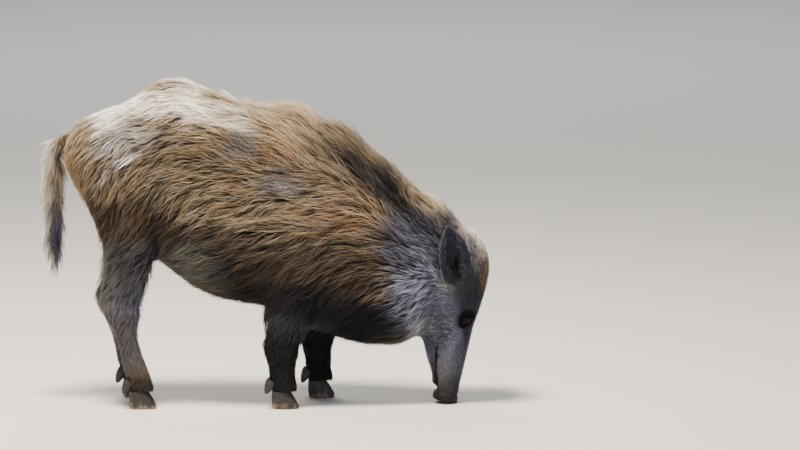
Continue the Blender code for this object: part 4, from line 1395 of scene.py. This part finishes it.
for side, word in WORD.items():
    mesh = bpy.data.meshes.new("eyeball_" + word)
    with editing(mesh) as bm:
        bmesh.ops.create_uvsphere(bm, u_segments=40, v_segments=24, radius=EYE_RADIUS)
        bmesh.ops.translate(bm, verts=bm.verts, vec=Vector(EYES[side]))
    mesh.shade_smooth()
    mesh.materials.append(eye_material(side))
    eyeball = put("eyeball_" + word, mesh)
    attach(eyeball, "root")
    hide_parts(f"eye_{word}")
print("eyes looking along", {WORD[s]: AXES[s][0].round(2) for s in AXES})

# %% [markdown]
# Claws keep their solids from the frame. The horn is dark brown, ringed across by its growth, and
# paler towards the edge that meets the ground, where dry soil sticks to it.

# %% Claws
def horn_material():
    """Dark ringed horn with dry soil low down."""
    made, tree, shader = principled("claw_horn")
    place = add(tree, "ShaderNodeTexCoord").outputs["Object"]
    rings = add(tree, "ShaderNodeTexWave",
                {"Vector": place, "Scale": 55.0, "Distortion": 7.0, "Detail": 3.0},
                bands_direction="Z").outputs["Fac"]
    horn = mixed(tree, rings, linear("#191413"), linear("#241e1c"))
    clods = add(tree, "ShaderNodeTexNoise",
                {"Vector": place, "Scale": 70.0, "Detail": 5.0}).outputs["Fac"]
    height = add(tree, "ShaderNodeSeparateXYZ", {0: place}).outputs["Z"]
    soil = add(tree, "ShaderNodeMath",
               {0: clods, 1: ranged(tree, height, 0.05, 0.0)}, operation="MULTIPLY").outputs[0]
    colour = mixed(tree, ranged(tree, soil, 0.34, 0.56), horn, linear("#7a6656"))
    tree.links.new(colour, shader.inputs["Base Color"])
    bump = add(tree, "ShaderNodeBump",
               {"Height": rings, "Strength": 0.2, "Distance": 0.0005}).outputs[0]
    tree.links.new(bump, shader.inputs["Normal"])
    shader.inputs["Roughness"].default_value = 0.55
    return made


HORN = horn_material()
claws = [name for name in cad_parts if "claw" in name]
for name in claws:
    node = bpy.data.objects[name]
    node.data.materials.clear()
    node.data.materials.append(HORN)
print(len(claws), "claws")

# %% [markdown]
# The light is a plain studio's. One large soft lamp high over the near side rakes over the flank and
# brightens the croup. A weak fill comes from the front, a rim lamp stands behind the back, and one
# lamp lights the floor far behind. The surround is even and pale, and so is the floor. The camera
# stands far back at a low height, as one does for a shy animal.

# %% Light, floor and camera
AIM = Vector((0.305, 0.0, 0.4117))
DISTANCE, ELEVATION, LENS = 12.0, 7.0, 234.8
FLOOR_SIZE, FLOOR_DROP = 60, 0.0005      # it lies a hair below the feet

mesh = bpy.data.meshes.new("floor")
with editing(mesh) as bm:
    bmesh.ops.create_grid(bm, x_segments=1, y_segments=1, size=FLOOR_SIZE)
    bmesh.ops.translate(bm, verts=bm.verts, vec=(0, 0, -FLOOR_DROP))
floor = put("floor", mesh)
pale, _, pale_shader = principled("pale_floor")
pale_shader.inputs["Base Color"].default_value = linear("#c9c7c2")
pale_shader.inputs["Roughness"].default_value = 0.9
mesh.materials.append(pale)

world = bpy.data.worlds.new("surround")
bpy.context.scene.world = world
world.use_nodes = True
world.node_tree.nodes["Background"].inputs["Color"].default_value = linear("#e4e8ee")
world.node_tree.nodes["Background"].inputs["Strength"].default_value = 0.36


def lamp(name, place, size, power, colour, aim=(0, 0, 0.4)):
    """A square soft lamp that looks at the aim, or else at the animal's middle."""
    light = bpy.data.lights.new(name, "AREA")
    light.shape = "SQUARE"
    light.size = size
    light.energy = power
    light.color = linear(colour)[:3]
    made = bpy.data.objects.new(name, light)
    made.location = place
    made.rotation_euler = (Vector(aim) - Vector(place)).to_track_quat("-Z", "Y").to_euler()
    bpy.context.scene.collection.objects.link(made)


lamp("key", (-0.6, -1.0, 3.6), 1.0, 490, "#fff3e2")
lamp("fill", (1.8, -3.4, 1.6), 2.2, 32, "#dfe9ff")
lamp("rim", (-0.8, 2.2, 3.0), 1.6, 90, "#fff6ea")
lamp("backdrop", (0, 9, 6), 6.0, 400, "#ffffff", (0, 9, 0))

low = math.radians(ELEVATION)
camera = bpy.data.objects.new("camera", bpy.data.cameras.new("camera"))
camera.data.type = "PERSP"
camera.data.lens = LENS
camera.data.sensor_width = 36.0
camera.data.clip_end = 200
back = Vector((0, -math.cos(low), math.sin(low)))
camera.location = AIM + back * DISTANCE
camera.rotation_euler = (-back).to_track_quat("-Z", "Y").to_euler()
bpy.context.scene.collection.objects.link(camera)
bpy.context.scene.camera = camera
print("camera at", tuple(round(c, 3) for c in camera.location))
